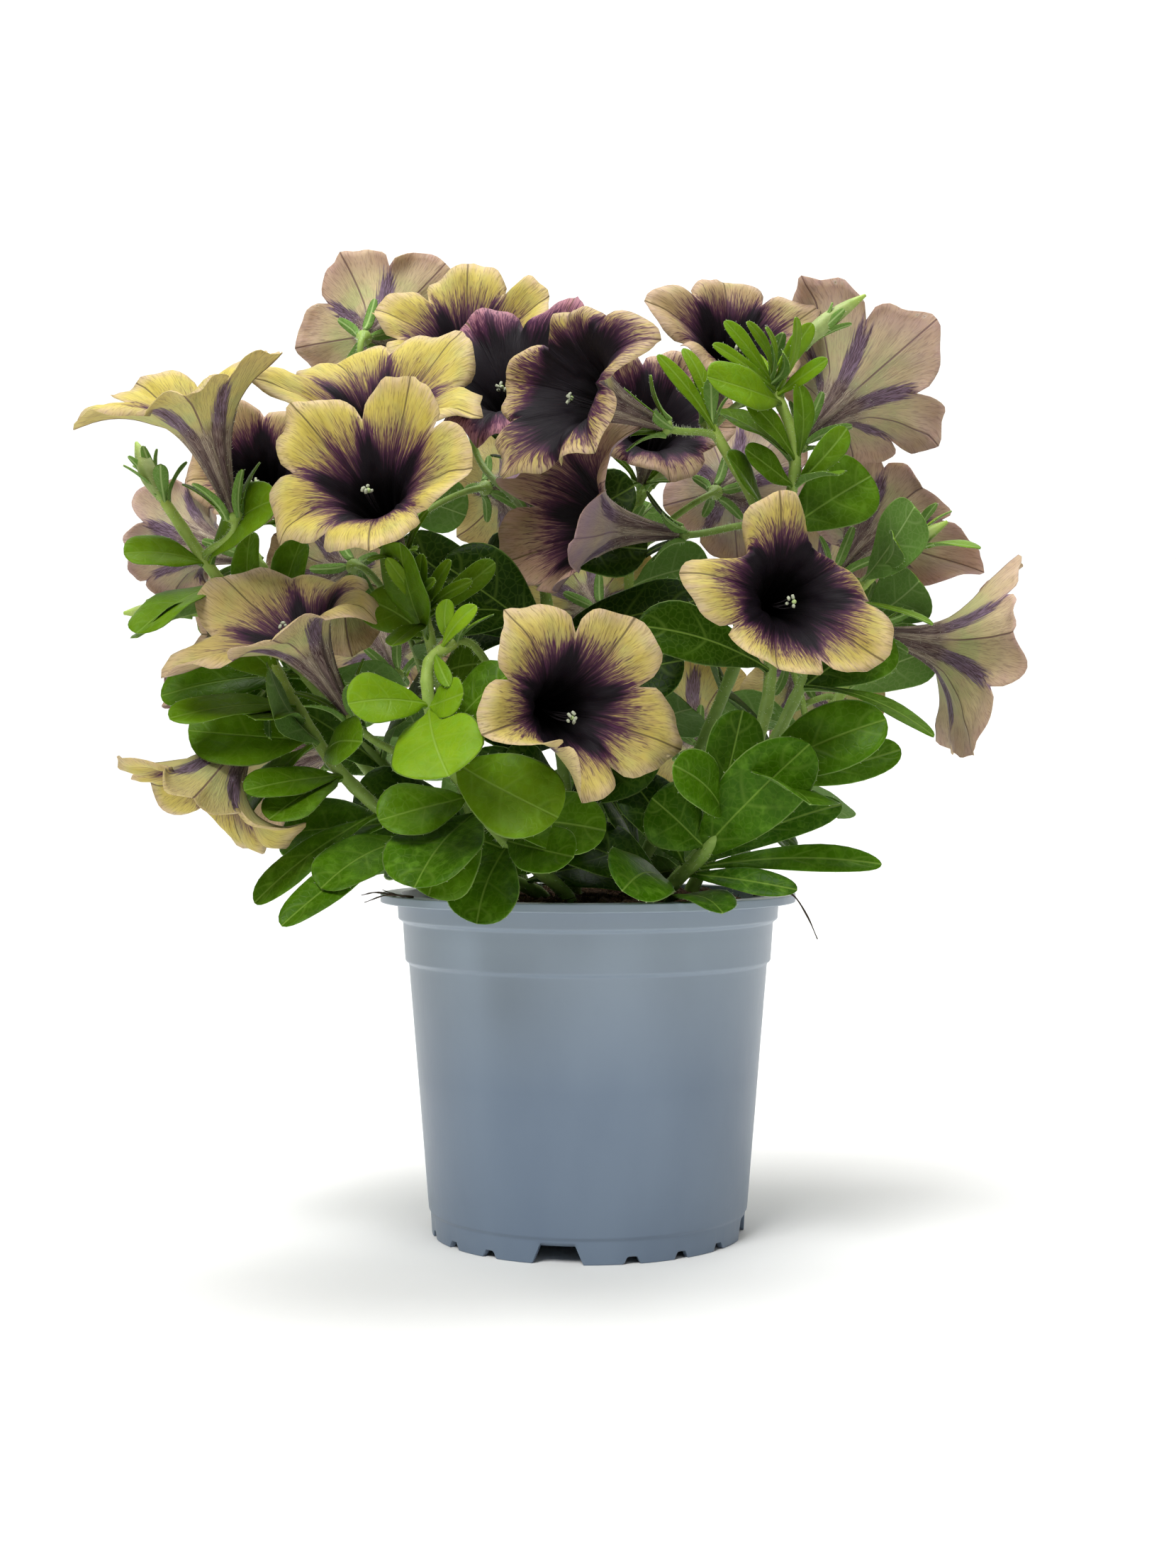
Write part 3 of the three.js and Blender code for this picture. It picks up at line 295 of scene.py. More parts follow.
            (0.5, (0, 78, 204), (-0.1, 0.98, 0.15), 28, 60, *BACK_FORM, (0.9, 0.28, 0)),
            (0.85, (54, 82, 246), (0.3, 0.93, 0.2), 28, 60, *BACK_FORM, (0.3, 0.35, 0.15)),
        ],
        buds=[(0.97, (34, 66, 258), 17)],
        ring=(8, 230, 0.2, 0.95),
    ),
    "back_right": dict(
        path=[(26, 18), (58, 32, 140), (86, 44, 172), (94, 56, 200)],
        blooms=[
            (0.6, (79, 74, 174), (0.3, 0.9, -0.2), 26, 60, *BACK_FORM, (0.8, 0.25, 0)),
            (0.95, (88, 98, 216), (0.4, 0.8, 0.45), 27, 60, *BACK_FORM, (0.5, 0.3, 0.1)),
            (0.7, (36, 106, 164), (-0.1, 0.95, 0.3), 27, 60, *BACK_FORM, (0.95, 0.25, 0)),
        ],
        ring=(8, 0, 0.2, 0.95),
    ),
    "back_low": dict(
        path=[(-10, 36), (-28, 62, 126), (-50, 76, 148), (-70, 82, 170)],
        blooms=[
            (0.95, (-74, 102, 196), (-0.2, 0.85, 0.5), 28, 60, *BACK_FORM, (0.45, 0.25, 0)),
            (0.7, (-108, 78, 150), (-0.8, 0.55, -0.1), 27, 60, *BACK_FORM, (0.45, 0.25, 0)),
        ],
        ring=(8, 300, 0.2, 0.95),
    ),
}

# Turns, lifts and sizes that a blade may stand at in the frame
BLADE_TRIES = [
    (0, 0, 1), (18, 0, 1), (-18, 0, 1), (0, 18, 1), (0, -18, 1), (36, 8, 1), (-36, 8, 1),
    (0, 32, 0.9), (0, -32, 0.9), (24, 20, 0.8), (-24, 20, 0.8), (24, -20, 0.8), (-24, -20, 0.8),
    (55, 10, 0.8), (-55, 10, 0.8), (0, 0, 0.7), (80, 15, 0.7), (-80, 15, 0.7),
]

# Sideways and upward shifts that a stalk's bow may have in the frame
STALK_TRIES = [
    (0, 0), (6, 0), (-6, 0), (0, 6), (0, -6), (12, 0), (-12, 0), (0, 12), (0, -12),
    (10, 10), (-10, 10), (10, -10), (-10, -10), (18, 0), (-18, 0), (0, -18), (0, 18),
]


def unit(vectors):
    """Vectors at length 1."""
    vectors = np.asarray(vectors, float)
    return vectors / np.linalg.norm(vectors, axis=-1, keepdims=True)


def lerp(a, b, share):
    return a + (b - a) * share


def smooth(low, high, value):
    """0 up to low and 1 from high, with an S-shaped rise between them."""
    share = np.clip((value - low) / (high - low), 0, 1)
    return share * share * (3 - 2 * share)


def even_draws(seed):
    """Even draws from 0 to 1, the same as the frame's blades were set by."""
    while True:
        seed = (seed * 1664525 + 1013904223) % 2**32
        yield seed / 2**32


def catmull_rom(points):
    """A smooth curve through the points: between two of them a cubic whose slope at each is half the
    step between its neighbours. Beyond each end the last step goes on."""
    points = np.asarray(points, float)
    padded = np.vstack([2 * points[0] - points[1], points, 2 * points[-1] - points[-2]])
    spans = len(points) - 1

    def curve(t):
        place = np.clip(t, 0, 1) * spans
        span = np.minimum(np.floor(place).astype(int), spans - 1)
        w = (place - span)[..., None]
        before, start, end, after = (padded[span + k] for k in range(4))
        leaving, arriving = (end - before) / 2, (after - start) / 2
        return (start + leaving * w + (3 * (end - start) - 2 * leaving - arriving) * w**2
                + (2 * (start - end) + leaving + arriving) * w**3)

    return curve


def bezier(points):
    """A Bezier curve: the points are blended pairwise by t until one is left."""
    def curve(t):
        t = np.asarray(t, float)[..., None]
        rows = [np.asarray(point, float) + 0 * t for point in points]
        while len(rows) > 1:
            rows = [a * (1 - t) + b * t for a, b in zip(rows, rows[1:])]
        return rows[0]

    return curve


def heading(curve, t):
    """The unit direction of a curve at places t, from two points close to each."""
    step = 1e-4
    return unit(curve(np.clip(t + step, 0, 1)) - curve(np.clip(t - step, 0, 1)))


class Skin:
    """Points in millimetres with their faces, and named values at each point."""

    def __init__(self, points, quads=(), triangles=(), **values):
        self.points = np.asarray(points, float).reshape(-1, 3)
        self.quads = np.asarray(quads, int).reshape(-1, 4)
        self.triangles = np.asarray(triangles, int).reshape(-1, 3)
        self.values = values


def joined(skins):
    """Several skins as one."""
    starts = np.cumsum([0] + [len(skin.points) for skin in skins])
    return Skin(
        np.concatenate([skin.points for skin in skins]),
        np.concatenate([skin.quads + start for skin, start in zip(skins, starts)]),
        np.concatenate([skin.triangles + start for skin, start in zip(skins, starts)]),
        **{name: np.concatenate([skin.values[name] for skin in skins]) for name in skins[0].values},
    )


def loft(rings, endless=False, **values):
    """A closed skin over rings of points, which run anticlockwise seen from the path's far end. The
    first and last ring are closed by a fan each, or joined to each other where it is endless."""
    rings = np.asarray(rings, float)
    count, around = rings.shape[:2]
    index = np.arange(count * around).reshape(count, around)
    loop = np.vstack([index, index[:1]]) if endless else index
    after = np.roll(loop, -1, 1)
    quads = np.stack([loop[:-1], after[:-1], after[1:], loop[1:]], -1)
    first, last, middle = index[0], index[-1], np.full(around, count * around)
    fans = () if endless else [
        np.stack([middle, np.roll(first, -1), first], -1),
        np.stack([middle + 1, last, np.roll(last, -1)], -1),
    ]
    ends = () if endless else (0, -1)
    grids = {name: np.broadcast_to(value, rings.shape) for name, value in values.items()}
    points, *flat = (
        np.vstack([grid.reshape(-1, 3), *(grid[end].mean(0) for end in ends)])
        for grid in (rings, *grids.values())
    )
    return Skin(points, quads, fans, **dict(zip(grids, flat)))


def rings_along(centres, radii, sides):
    """Round rings along a path: each is turned square to the path, with its first point in the plane
    that fits the path best. radii has one number for each ring, or one for each point."""
    along = unit(np.gradient(centres, axis=0))
    plane = np.linalg.svd(centres - centres.mean(0))[2][-1]
    side = unit(np.cross(plane, along))
    other = np.cross(along, side)
    angle = TAU * np.arange(sides) / sides
    ring = np.cos(angle)[:, None] * side[:, None] + np.sin(angle)[:, None] * other[:, None]
    return centres[:, None] + np.reshape(radii, (len(centres), -1, 1)) * ring


def hairs(roots, directions, lengths, radius):
    """Slim closed spikes of three sides: each stands on its root in its direction."""
    directions = unit(directions)
    side = unit(np.cross(directions, directions[:, [1, 2, 0]] + [0.1, 0.2, 0.3]))
    other = np.cross(directions, side)
    angle = (TAU * np.arange(3) / 3)[:, None, None]
    foot = roots + radius * (np.cos(angle) * side + np.sin(angle) * other)
    tip = roots + directions * np.reshape(lengths, (-1, 1))
    points = np.concatenate([foot, tip[None]]).transpose(1, 0, 2)
    one = np.array([(0, 1, 3), (1, 2, 3), (2, 0, 3), (0, 2, 1)])
    return Skin(points, (), (4 * np.arange(len(roots)))[:, None, None] + one)


def ripple(x, y, sizes, seed):
    """Uneven ground: for each size, a sum of three sine waves that long in seeded directions, each as
    high as a twelfth of their length."""
    draw = np.random.default_rng(seed)
    height = 0 * x
    for size in sizes:
        for turn, start in zip(draw.uniform(0, TAU, 3), draw.uniform(0, TAU, 3)):
            across = x * math.cos(turn) + y * math.sin(turn)
            height = height + size / 12 * np.sin(TAU * across / size + start)
    return height


def linear(colour):
    """An sRGB hex colour as linear RGBA."""
    value = np.array([int(colour[k:k + 2], 16) for k in (1, 3, 5)]) / 255
    value = np.where(value <= 0.04045, value / 12.92, ((value + 0.055) / 1.055) ** 2.4)
    return (*value, 1.0)


def connect(tree, target, inputs):
    """Gives a node its inputs, by name or place: links a socket, turns a hex colour to linear, and
    skips None."""
    for name, value in inputs:
        if isinstance(value, bpy.types.NodeSocket):
            tree.links.new(value, target.inputs[name])
        elif value is not None:
            target.inputs[name].default_value = linear(value) if isinstance(value, str) else value


def node(tree, kind, *inputs, **settings):
    """Adds a node with its inputs, in the node's own order, and settings. Returns its outputs."""
    made = tree.nodes.new("ShaderNode" + kind)
    for name, value in settings.items():
        setattr(made, name, value)
    connect(tree, made, enumerate(inputs))
    return made.outputs


def finished(recipe):
    """A material from its recipe, a function that adds nodes and gives the shader's sockets."""
    material = bpy.data.materials.new(recipe.__name__)
    material.use_nodes = True
    tree = material.node_tree
    add = partial(node, tree)
    sockets = recipe(add, add("TexCoord")["Object"])
    connect(tree, tree.nodes["Principled BSDF"], sockets.items())
    return material


# Settings of Mix and MapRange nodes, and a Mix node's output and unused inputs when it mixes colours.
# Inputs in order: Mix: share, unused, first, second; MapRange: value, from two, to two;
# TexNoise: place, unused, scale, detail, roughness; Bump: strength, distance, unused, height
COLOUR, SOFT = dict(data_type="RGBA"), dict(interpolation_type="SMOOTHSTEP")
MIXED, SKIP = 2, (None,) * 5


def moulded_polypropylene(add, place):
    """Injection-moulded polypropylene, filled grey-blue: an even satin skin, faintly cloudy where the
    melt flowed, with fine rub marks. Towards the rim it is painted paler: painted light from above."""
    # The flow clouds are about 25 mm long, and the rub marks 0.7 mm apart
    flow = add("Mapping", place, None, None, (40, 40, 18))[0]
    clouds = add("TexNoise", flow, None, 1, 3)[0]
    rubs = add("Mapping", place, None, None, (1400, 1400, 90))[0]
    marks = add("TexNoise", rubs, None, 1, 2)[0]
    colour = add("Mix", clouds, *SKIP, "#617185", "#738395", **COLOUR)[MIXED]
    # painted light from above: from 50 mm up to 92 mm the grey-blue turns half way to a paler grey, and
    # stays so up to the rim
    painted_top_light = add("MapRange", add("SeparateXYZ", place)[2], 0.05, 0.092, 0, 0.5)[0]
    colour = add("Mix", painted_top_light, *SKIP, colour, "#A3AFBA", **COLOUR)[MIXED]
    gloss = add("MapRange", marks, 0, 1, 0.3, 0.44)[0]
    relief = add("Bump", 0.05, 0.0002, None, marks)[0]
    return {"Base Color": colour, "Roughness": gloss, "IOR": 1.49, "Normal": relief}


def damp_peat(add, place):
    """Damp brown peat: matt crumbs and fibres, nearly black in the hollows and tan on dry tips."""
    # Crumbs of 3 mm with fibres of 0.6 mm on them
    crumbs = add("TexNoise", place, None, 330, 5, 0.7)[0]
    fibres = add("TexNoise", place, None, 1700, 2)[0]
    brown = add("Mix", crumbs, *SKIP, "#1B120C", "#5A4230", **COLOUR)[MIXED]
    tips = add("MapRange", fibres, 0.58, 0.75)[0]
    colour = add("Mix", tips, *SKIP, brown, "#8A6B4C", **COLOUR)[MIXED]
    relief = add("Bump", 0.8, 0.001, None, crumbs)[0]
    return {"Base Color": colour, "Roughness": 0.95, "Specular IOR Level": 0.2, "Normal": relief}


def dry_twig(add, place):
    """Dry plant litter: dark, dull and splintered in grains of 1 mm."""
    grain = add("TexNoise", place, None, 900, 3)[0]
    colour = add("Mix", grain, *SKIP, "#17110D", "#4A3828", **COLOUR)[MIXED]
    return {"Base Color": colour, "Roughness": 0.85}


def living_leaf(add, place):
    """Living petunia leaf: a waxed green upper face with a pale sunken midrib and faint arching side
    veins, a dull grey-green underside, yellow-green where it is young, and darkest deep inside the plant
    by painted shade."""
    kind, blade, painted_depth_shade = (
        add("SeparateXYZ", add("Attribute", attribute_name=name)["Vector"])
        for name in ("leaf", "blade", "painted_depth_shade")
    )
    young, under, chance = kind[0], kind[1], kind[2]
    # blade: share of the half width, place from foot to tip, distance from the midrib in cm
    side, rib_gap = (add("Math", blade[k], operation="ABSOLUTE")[0] for k in (0, 2))
    # Seven side veins on each half, which leave the midrib at a slant and bend a little to the tip
    bend = add("Math", side, 1.2, operation="POWER")[0]
    sway = add("TexNoise", place, None, 120, 1)[0]
    slant = add("Math", bend, -0.2, blade[1], operation="MULTIPLY_ADD")[0]
    slant = add("Math", sway, 0.05, slant, operation="MULTIPLY_ADD")[0]
    phase = add("Math", slant, 7.0, operation="MULTIPLY")[0]
    gap = add("Math", phase, 1.0, operation="PINGPONG")[0]
    side_vein = add("MapRange", gap, 0, 0.18, 0.3, 0, **SOFT)[0]
    inward = add("MapRange", side, 0.4, 0.95, 1, 0.2)[0]
    veins = add("Math", side_vein, inward, operation="MULTIPLY")[0]
    midrib = add("MapRange", rib_gap, 0.01, 0.045, 0.8, 0, **SOFT)[0]
    # A net of small veins 2 mm apart, and a pale line of down along the margin
    net = add("TexVoronoi", place, None, 480, feature="DISTANCE_TO_EDGE")[0]
    net = add("MapRange", net, 0, 0.12, 0.16, 0)[0]
    margin = add("MapRange", side, 0.955, 0.99, 0, 0.75, **SOFT)[0]
    for lines in (midrib, net, margin):
        veins = add("Math", veins, lines, operation="MAXIMUM")[0]
    # Clouds 7 mm wide and paler blotches of 3 mm, then each leaf's own shade of green, painted shade
    # that darkens the leaves deep inside the plant, and the veins
    clouds = add("TexNoise", place, None, 140, 3)[0]
    blotch = add("MapRange", add("TexNoise", place, None, 300, 4)[0], 0.5, 0.68, 0, 0.35)[0]
    shade = add("MapRange", chance, 0, 1, 0, 0.4)[0]
    # painted shade: leaves deep inside the plant are darkened towards #0B2400
    inside = add("Math", painted_depth_shade[0], 0.92, operation="MULTIPLY")[0]
    pale = add("Math", veins, 0.6, operation="MULTIPLY")[0]
    deep = add("Mix", clouds, *SKIP, "#103200", "#3A6800", **COLOUR)[MIXED]
    fresh = add("Mix", clouds, *SKIP, "#668C08", "#96B422", **COLOUR)[MIXED]
    below = add("Mix", veins, *SKIP, "#5E8038", "#9CB470", **COLOUR)[MIXED]
    green = deep
    for share, coat in ((young, fresh), (blotch, "#6E9A2C"), (shade, "#4E7800"), (inside, "#0B2400"),
                        (pale, "#86A444"), (under, below)):
        green = add("Mix", share, *SKIP, green, coat, **COLOUR)[MIXED]
    gloss = add("MapRange", under, 0, 1, 0.4, 0.7)[0]
    height = add("Math", veins, -1.0, clouds, operation="MULTIPLY_ADD")[0]
    relief = add("Bump", 0.5, 0.0005, None, height)[0]
    return {"Base Color": green, "Roughness": gloss, "Specular IOR Level": 0.09,
            "Subsurface Weight": 0.08, "Subsurface Radius": (0.4, 1.0, 0.2),
            "Subsurface Scale": 0.001, "Normal": relief}


def downy_stem(add, place):
    """Downy green stem: soft, light green and a little translucent, streaked in 2.5 mm lengths. The
    folded petals of a bud are greyer, and deep inside the plant it is darkened by painted shade."""
    kind, painted_depth_shade = (
        add("SeparateXYZ", add("Attribute", attribute_name=name)["Vector"])
        for name in ("leaf", "painted_depth_shade")
    )
    streaks = add("TexNoise", place, None, 400, 3)[0]
    old, tender, folded = (
        add("Mix", streaks, *SKIP, dark, light, **COLOUR)[MIXED]
        for dark, light in (("#6A8C34", "#9AB45C"), ("#8CAA3A", "#BACB66"), ("#6A7444", "#ACB47E"))
    )
    # painted shade: stems and stalks deep inside the plant are darkened towards #2C4A0C
    inside = add("Math", painted_depth_shade[0], 0.4, operation="MULTIPLY")[0]
    colour = old
    for share, coat in ((kind[0], tender), (kind[1], folded), (inside, "#2C4A0C")):
        colour = add("Mix", share, *SKIP, colour, coat, **COLOUR)[MIXED]
    return {"Base Color": colour, "Roughness": 0.55, "IOR": 1.4, "Subsurface Weight": 0.15,
            "Subsurface Radius": (0.5, 1.0, 0.2), "Subsurface Scale": 0.0015}


def plant_down(add, place):
    """Plant down: clear hairs that read as a pale bloom over the green."""
    clouds = add("TexNoise", place, None, 200)[0]
    return {"Base Color": add("Mix", clouds, *SKIP, "#C9D8A8", "#EEF3DC", **COLOUR)[MIXED],
            "Roughness": 0.5}


def pollen_sac(add, place):
    """Fresh anthers: matt grains of cream on dull lumps, a greener stigma, and dark filaments that
    are lost in the throat."""
    ripe = add("SeparateXYZ", add("Attribute", attribute_name="ripe")["Vector"])
    # Grains 0.7 mm apart
    grains = add("TexNoise", place, None, 1500, 2)[0]
    head = add("Mix", grains, *SKIP, "#84886F", "#C8CDB4", **COLOUR)[MIXED]
    head = add("Mix", ripe[1], *SKIP, head, "#A9BD7C", **COLOUR)[MIXED]
    colour = add("Mix", ripe[0], *SKIP, "#1A1016", head, **COLOUR)[MIXED]
    return {"Base Color": colour, "Roughness": 0.8}


def petunia_petal(add, place):
    """Petunia petal: a thin velvety limb, old gold to mauve, with a purple-black throat that
    feathers outwards, furthest along the seams between the lobes. Its back is greyer, with a purple
    stripe along each seam. Radial wrinkles and a sunken midrib catch the light."""
    spot, tone, inner = (
        add("SeparateXYZ", add("Attribute", attribute_name=name)["Vector"])
        for name in ("petal", "tone", "inner")
    )
    # spot: place on the limb, 0 at the throat and 1 at the edge, and negative in the tube; distances
    # from the lobe's midrib and from the seam beside it in cm
    limb, rib, seam = spot[0], spot[1], spot[2]
    yellow, dark, rosy = tone[0], tone[1], tone[2]
    # Streaks 2.5 mm, 0.8 mm and 0.3 mm wide across a limb of 28 mm, a little wavy, and patches 8 mm
    # wide, in no direction
    wobble = add("TexNoise", place, None, 350, 1)["Color"]
    ray = add("Attribute", attribute_name="ray")["Vector"]
    ray = add("VectorMath", wobble, (0.03, 0.03, 0), ray, operation="MULTIPLY_ADD")[0]
    broad, fine, hair, patches = (
        add("TexNoise", along, None, scale, detail)[0]
        for along, scale, detail in ((ray, 8, 2), (ray, 28, 3), (ray, 75, 1), (place, 120, 3))
    )
    wrinkle = add("MapRange", hair, 0.48, 0.7, 0, 0.42)[0]
    midrib = add("MapRange", rib, 0.01, 0.04, 0.9, 0, **SOFT)[0]
    veined = add("Math", wrinkle, midrib, operation="MAXIMUM")[0]

    # The throat's dark patch reaches out in the seams. Its black edge is soft, and the purple round
    # it thins out to brown in fine lines.
    along_seam = add("MapRange", seam, 0, 0.42, 0.38, 0, **SOFT)[0]
    reach = add("Math", broad, 0.35, -0.4, operation="MULTIPLY_ADD")[0]
    reach = add("Math", fine, 0.45, reach, operation="MULTIPLY_ADD")[0]
    for more in (along_seam, dark):
        reach = add("Math", reach, more, operation="ADD")[0]
    beyond = add("Math", limb, reach, operation="SUBTRACT")[0]
    black = add("MapRange", beyond, -0.25, 0.12, 1, 0, **SOFT)[0]
    feather = add("Math", hair, -0.9, beyond, operation="MULTIPLY_ADD")[0]
    purple = add("MapRange", feather, -0.5, -0.08, 1, 0, **SOFT)[0]
    gold, tan, grey = (
        add("Mix", broad, *SKIP, deep, light, **COLOUR)[MIXED]
        for deep, light in (("#A49330", "#D9CA6A"), ("#927A54", "#BEA684"), ("#A08A7A", "#D0BB9C"))
    )
    # A mauve veil lies on the limb towards the dark patch, another on its last millimetres, and on
    # rosy blooms on all of it. The flare round the throat is purple-black with the velvet's faint sheen,
    # and down the tube the black is painted darker: painted shade in the tube.
    olive = add("MapRange", patches, 0.48, 0.68, 0, 0.5)[0]
    veil = add("MapRange", beyond, 0.05, 0.52, 1.35, 0)[0]
    edge = add("MapRange", limb, 0.7, 1, 0, 1, **SOFT)[0]
    veil, edge = (add("Math", share, fine, operation="MULTIPLY")[0] for share in (veil, edge))
    in_tube = add("MapRange", limb, -0.3, 0.1, 1, 0, **SOFT)[0]
    # painted shade: inside the tube the black is painted darker, #040203 against the flare's #120B12
    black_with_painted_tube_shade = add("Mix", in_tube, *SKIP, "#120B12", "#040203", **COLOUR)[MIXED]
    face = tan
    for share, coat in ((yellow, gold), (olive, "#A8A866"), (veil, "#80604E"), (edge, "#C0A396"),
                        (rosy, "#A06A7C"), (veined, "#66583A"), (purple, "#4B2540"), (black, black_with_painted_tube_shade)):
        face = add("Mix", share, *SKIP, face, coat, **COLOUR)[MIXED]

    # The back: greyer, flushed with green between tube and edge and with mauve along the edge, and
    # netted with fine dark lines
    gilt = add("Math", yellow, 0.8, operation="MULTIPLY")[0]
    plain = add("Math", 1.0, gilt, operation="SUBTRACT")[0]
    inland = add("MapRange", limb, 0.1, 0.85, 1, 0, **SOFT)[0]
    flush = add("MapRange", patches, 0.4, 0.62, 0.15, 0.85)[0]
    flush = add("Math", flush, inland, operation="MULTIPLY")[0]
    mauve = add("MapRange", limb, 0.45, 1, 0, 1.4)[0]
    blush = add("Math", rosy, 4.5, operation="MULTIPLY")[0]
    mauve, blush = (add("Math", share, patches, operation="MULTIPLY")[0] for share in (mauve, blush))
    mauve = add("Math", mauve, plain, operation="MULTIPLY")[0]
    # A pale streaked tube, and on it and the limb a purple stripe along each seam that narrows
    # outwards. at_seam is 0 on the seam and 1 on the midrib.
    streak = add("MapRange", hair, 0.4, 0.62)[0]
    tube, violet, maroon = (
        add("Mix", streak, *SKIP, deep, light, **COLOUR)[MIXED]
        for deep, light in (("#5A4642", "#ADA08C"), ("#3C243C", "#7C6680"), ("#38222A", "#86746C"))
    )
    violet = add("Mix", in_tube, *SKIP, violet, maroon, **COLOUR)[MIXED]
    breadth = add("Math", rib, seam, operation="ADD")[0]
    at_seam = add("Math", seam, breadth, operation="DIVIDE")[0]
    width = add("MapRange", limb, -0.3, 0.85, 0.5, -0.08)[0]
    width = add("Math", fine, 0.55, width, operation="MULTIPLY_ADD")[0]
    gap = add("Math", width, at_seam, operation="SUBTRACT")[0]
    stripe = add("MapRange", gap, 0.1, 0.26, 0, 0.92, **SOFT)[0]
    back = grey
    for share, coat in ((gilt, "#C4BA62"), (flush, "#ABB077"), (mauve, "#B08C8E"),
                        (veined, "#6E5650"), (blush, "#937C92"), (in_tube, tube), (stripe, violet)):
        back = add("Mix", share, *SKIP, back, coat, **COLOUR)[MIXED]

    colour = add("Mix", inner[0], *SKIP, back, face, **COLOUR)[MIXED]
    height = add("Math", hair, 0.5, fine, operation="MULTIPLY_ADD")[0]
    height = add("Math", midrib, -0.8, height, operation="MULTIPLY_ADD")[0]
    relief = add("Bump", 0.5, 0.0005, None, height)[0]
    return {"Base Color": colour, "Roughness": 0.6, "Specular IOR Level": 0.14,
            "Subsurface Weight": 0.12, "Subsurface Radius": (1.0, 0.7, 0.3),
            "Subsurface Scale": 0.0015, "Normal": relief}


def studio_paper(add, place):
    """Matt white background paper."""
    return {"Base Color": "#F7F7F5", "Roughness": 0.95, "Specular IOR Level": 0.1}


PLASTIC, PEAT, TWIG, LEAF, STEM, DOWN, POLLEN, PETAL, PAPER = map(finished, (
    moulded_polypropylene, damp_peat, dry_twig, living_leaf, downy_stem, plant_down, pollen_sac,
    petunia_petal, studio_paper,
))


def mesh_object(name, skin, material):
    """An object at the origin, with its place in its mesh in metres and its values as attributes."""
    mesh = bpy.data.meshes.new(name)
    corners = np.concatenate([skin.quads.ravel(), skin.triangles.ravel()])
    quads, triangles = len(skin.quads), len(skin.triangles)
    starts = np.concatenate([4 * np.arange(quads), 4 * quads + 3 * np.arange(triangles)])
    mesh.vertices.add(len(skin.points))
    mesh.vertices.foreach_set("co", (skin.points * MM).ravel())
    mesh.loops.add(len(corners))
    mesh.loops.foreach_set("vertex_index", corners)
    mesh.polygons.add(quads + triangles)
    mesh.polygons.foreach_set("loop_start", starts)
    mesh.update(calc_edges=True)
    for value_name, value in skin.values.items():
        attribute = mesh.attributes.new(value_name, "FLOAT_VECTOR", "POINT")
        attribute.data.foreach_set("vector", np.ascontiguousarray(value).ravel())
    mesh.shade_smooth()
    mesh.materials.append(material)
    made = bpy.data.objects.new(name, mesh)
    bpy.context.scene.collection.objects.link(made)
    return made


def piece(name, skin, material, slot, *nodes):
    """A piece of the plant that rides on the root body and stands for its nodes."""
    made = mesh_object(name, skin, material)
    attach(made, "root")
    if nodes:
        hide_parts(*nodes)


def node_corners(name):
    """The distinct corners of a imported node, in millimetres."""
    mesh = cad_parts[name].data
    flat = np.empty(3 * len(mesh.vertices))
    mesh.vertices.foreach_get("co", flat)
    return np.unique(np.round(flat.reshape(-1, 3) / MM, 3), axis=0)


def round_corners(outline, radius):
    """A closed outline with each corner replaced by a small arc, a quadratic curve towards the corner,
    and a support point on each side that keeps the flats flat in smooth shading."""
    outline = np.asarray(outline, float)
    steps = [np.roll(outline, shift, 0) - outline for shift in (1, -1)]
    start, end = (
        outline + step * np.minimum(radius / np.linalg.norm(step, axis=1, keepdims=True), 0.3)
        for step in steps
    )
    t = np.linspace(0, 1, 4)[:, None, None]
    arc = start * (1 - t) ** 2 + outline * 2 * t * (1 - t) + end * t**2
    supports = [outline + (place - outline) * 1.5 for place in (start, end)]
    return np.concatenate([supports[:1], arc, supports[1:]]).transpose(1, 0, 2).reshape(-1, 2)


def notch_height(angle):
    """The height of the foot's lower edge at an angle from the front: a trapezium at each notch, the
    same in each quarter, straight across and so a sine of the angle wide."""
    height = 0 * angle
    for turn, foot, top, rise in NOTCHES:
        for quarter in range(4):
            off = angle - math.radians(turn + 90 * quarter)
            across = np.where(np.cos(off) > 0, np.abs(FOOT_RADIUS * np.sin(off)), np.inf)
            slope = np.clip((foot / 2 - across) / (foot / 2 - top / 2), 0, 1)
            height = np.maximum(height, rise * slope)
    return height


def pot_wall():
    """The wall with its foot ring: a closed outline turned round the axis. Under the base its points
    are squeezed upwards where the foot is notched."""
    outline = round_corners([
        (FOOT_INSIDE, 0), (FOOT_RADIUS, 0), (FOOT_RADIUS + 0.4, BASE_HEIGHT - 1),
        (BASE_RADIUS, BASE_HEIGHT), (STEP_RADIUS - 1.1, STEP_HEIGHT - 1), (STEP_RADIUS, STEP_HEIGHT),
        (STEP_RADIUS + 0.8, BAND_FOOT - 1), (BAND_RADIUS - 0.4, BAND_FOOT),
        (BAND_RADIUS, POT_HEIGHT - RIM_SHEET), (RIM_RADIUS - 1.2, POT_HEIGHT - RIM_SHEET),
        (RIM_RADIUS - 1.1, POT_HEIGHT - RIM_LIP), (RIM_RADIUS, POT_HEIGHT - RIM_LIP),
        (RIM_RADIUS, POT_HEIGHT), (BAND_RADIUS - WALL, POT_HEIGHT),
        (STEP_RADIUS - WALL, BAND_FOOT - 1.4), (STEP_RADIUS - WALL - 1.1, STEP_HEIGHT - 1),
        (BASE_RADIUS - WALL, FLOOR_TOP), (FOOT_INSIDE, FLOOR_TOP),
    ], 0.35)
    angle = TAU * np.arange(POT_COLUMNS) / POT_COLUMNS
    notch = notch_height(angle)
    r, z = outline[:, :1], outline[:, 1:]
    z = np.where(z < FLOOR_TOP, notch + z * (1 - notch / FLOOR_TOP), z + 0 * notch)
    return loft(np.stack([r * np.sin(angle), -r * np.cos(angle), z], -1), endless=True)


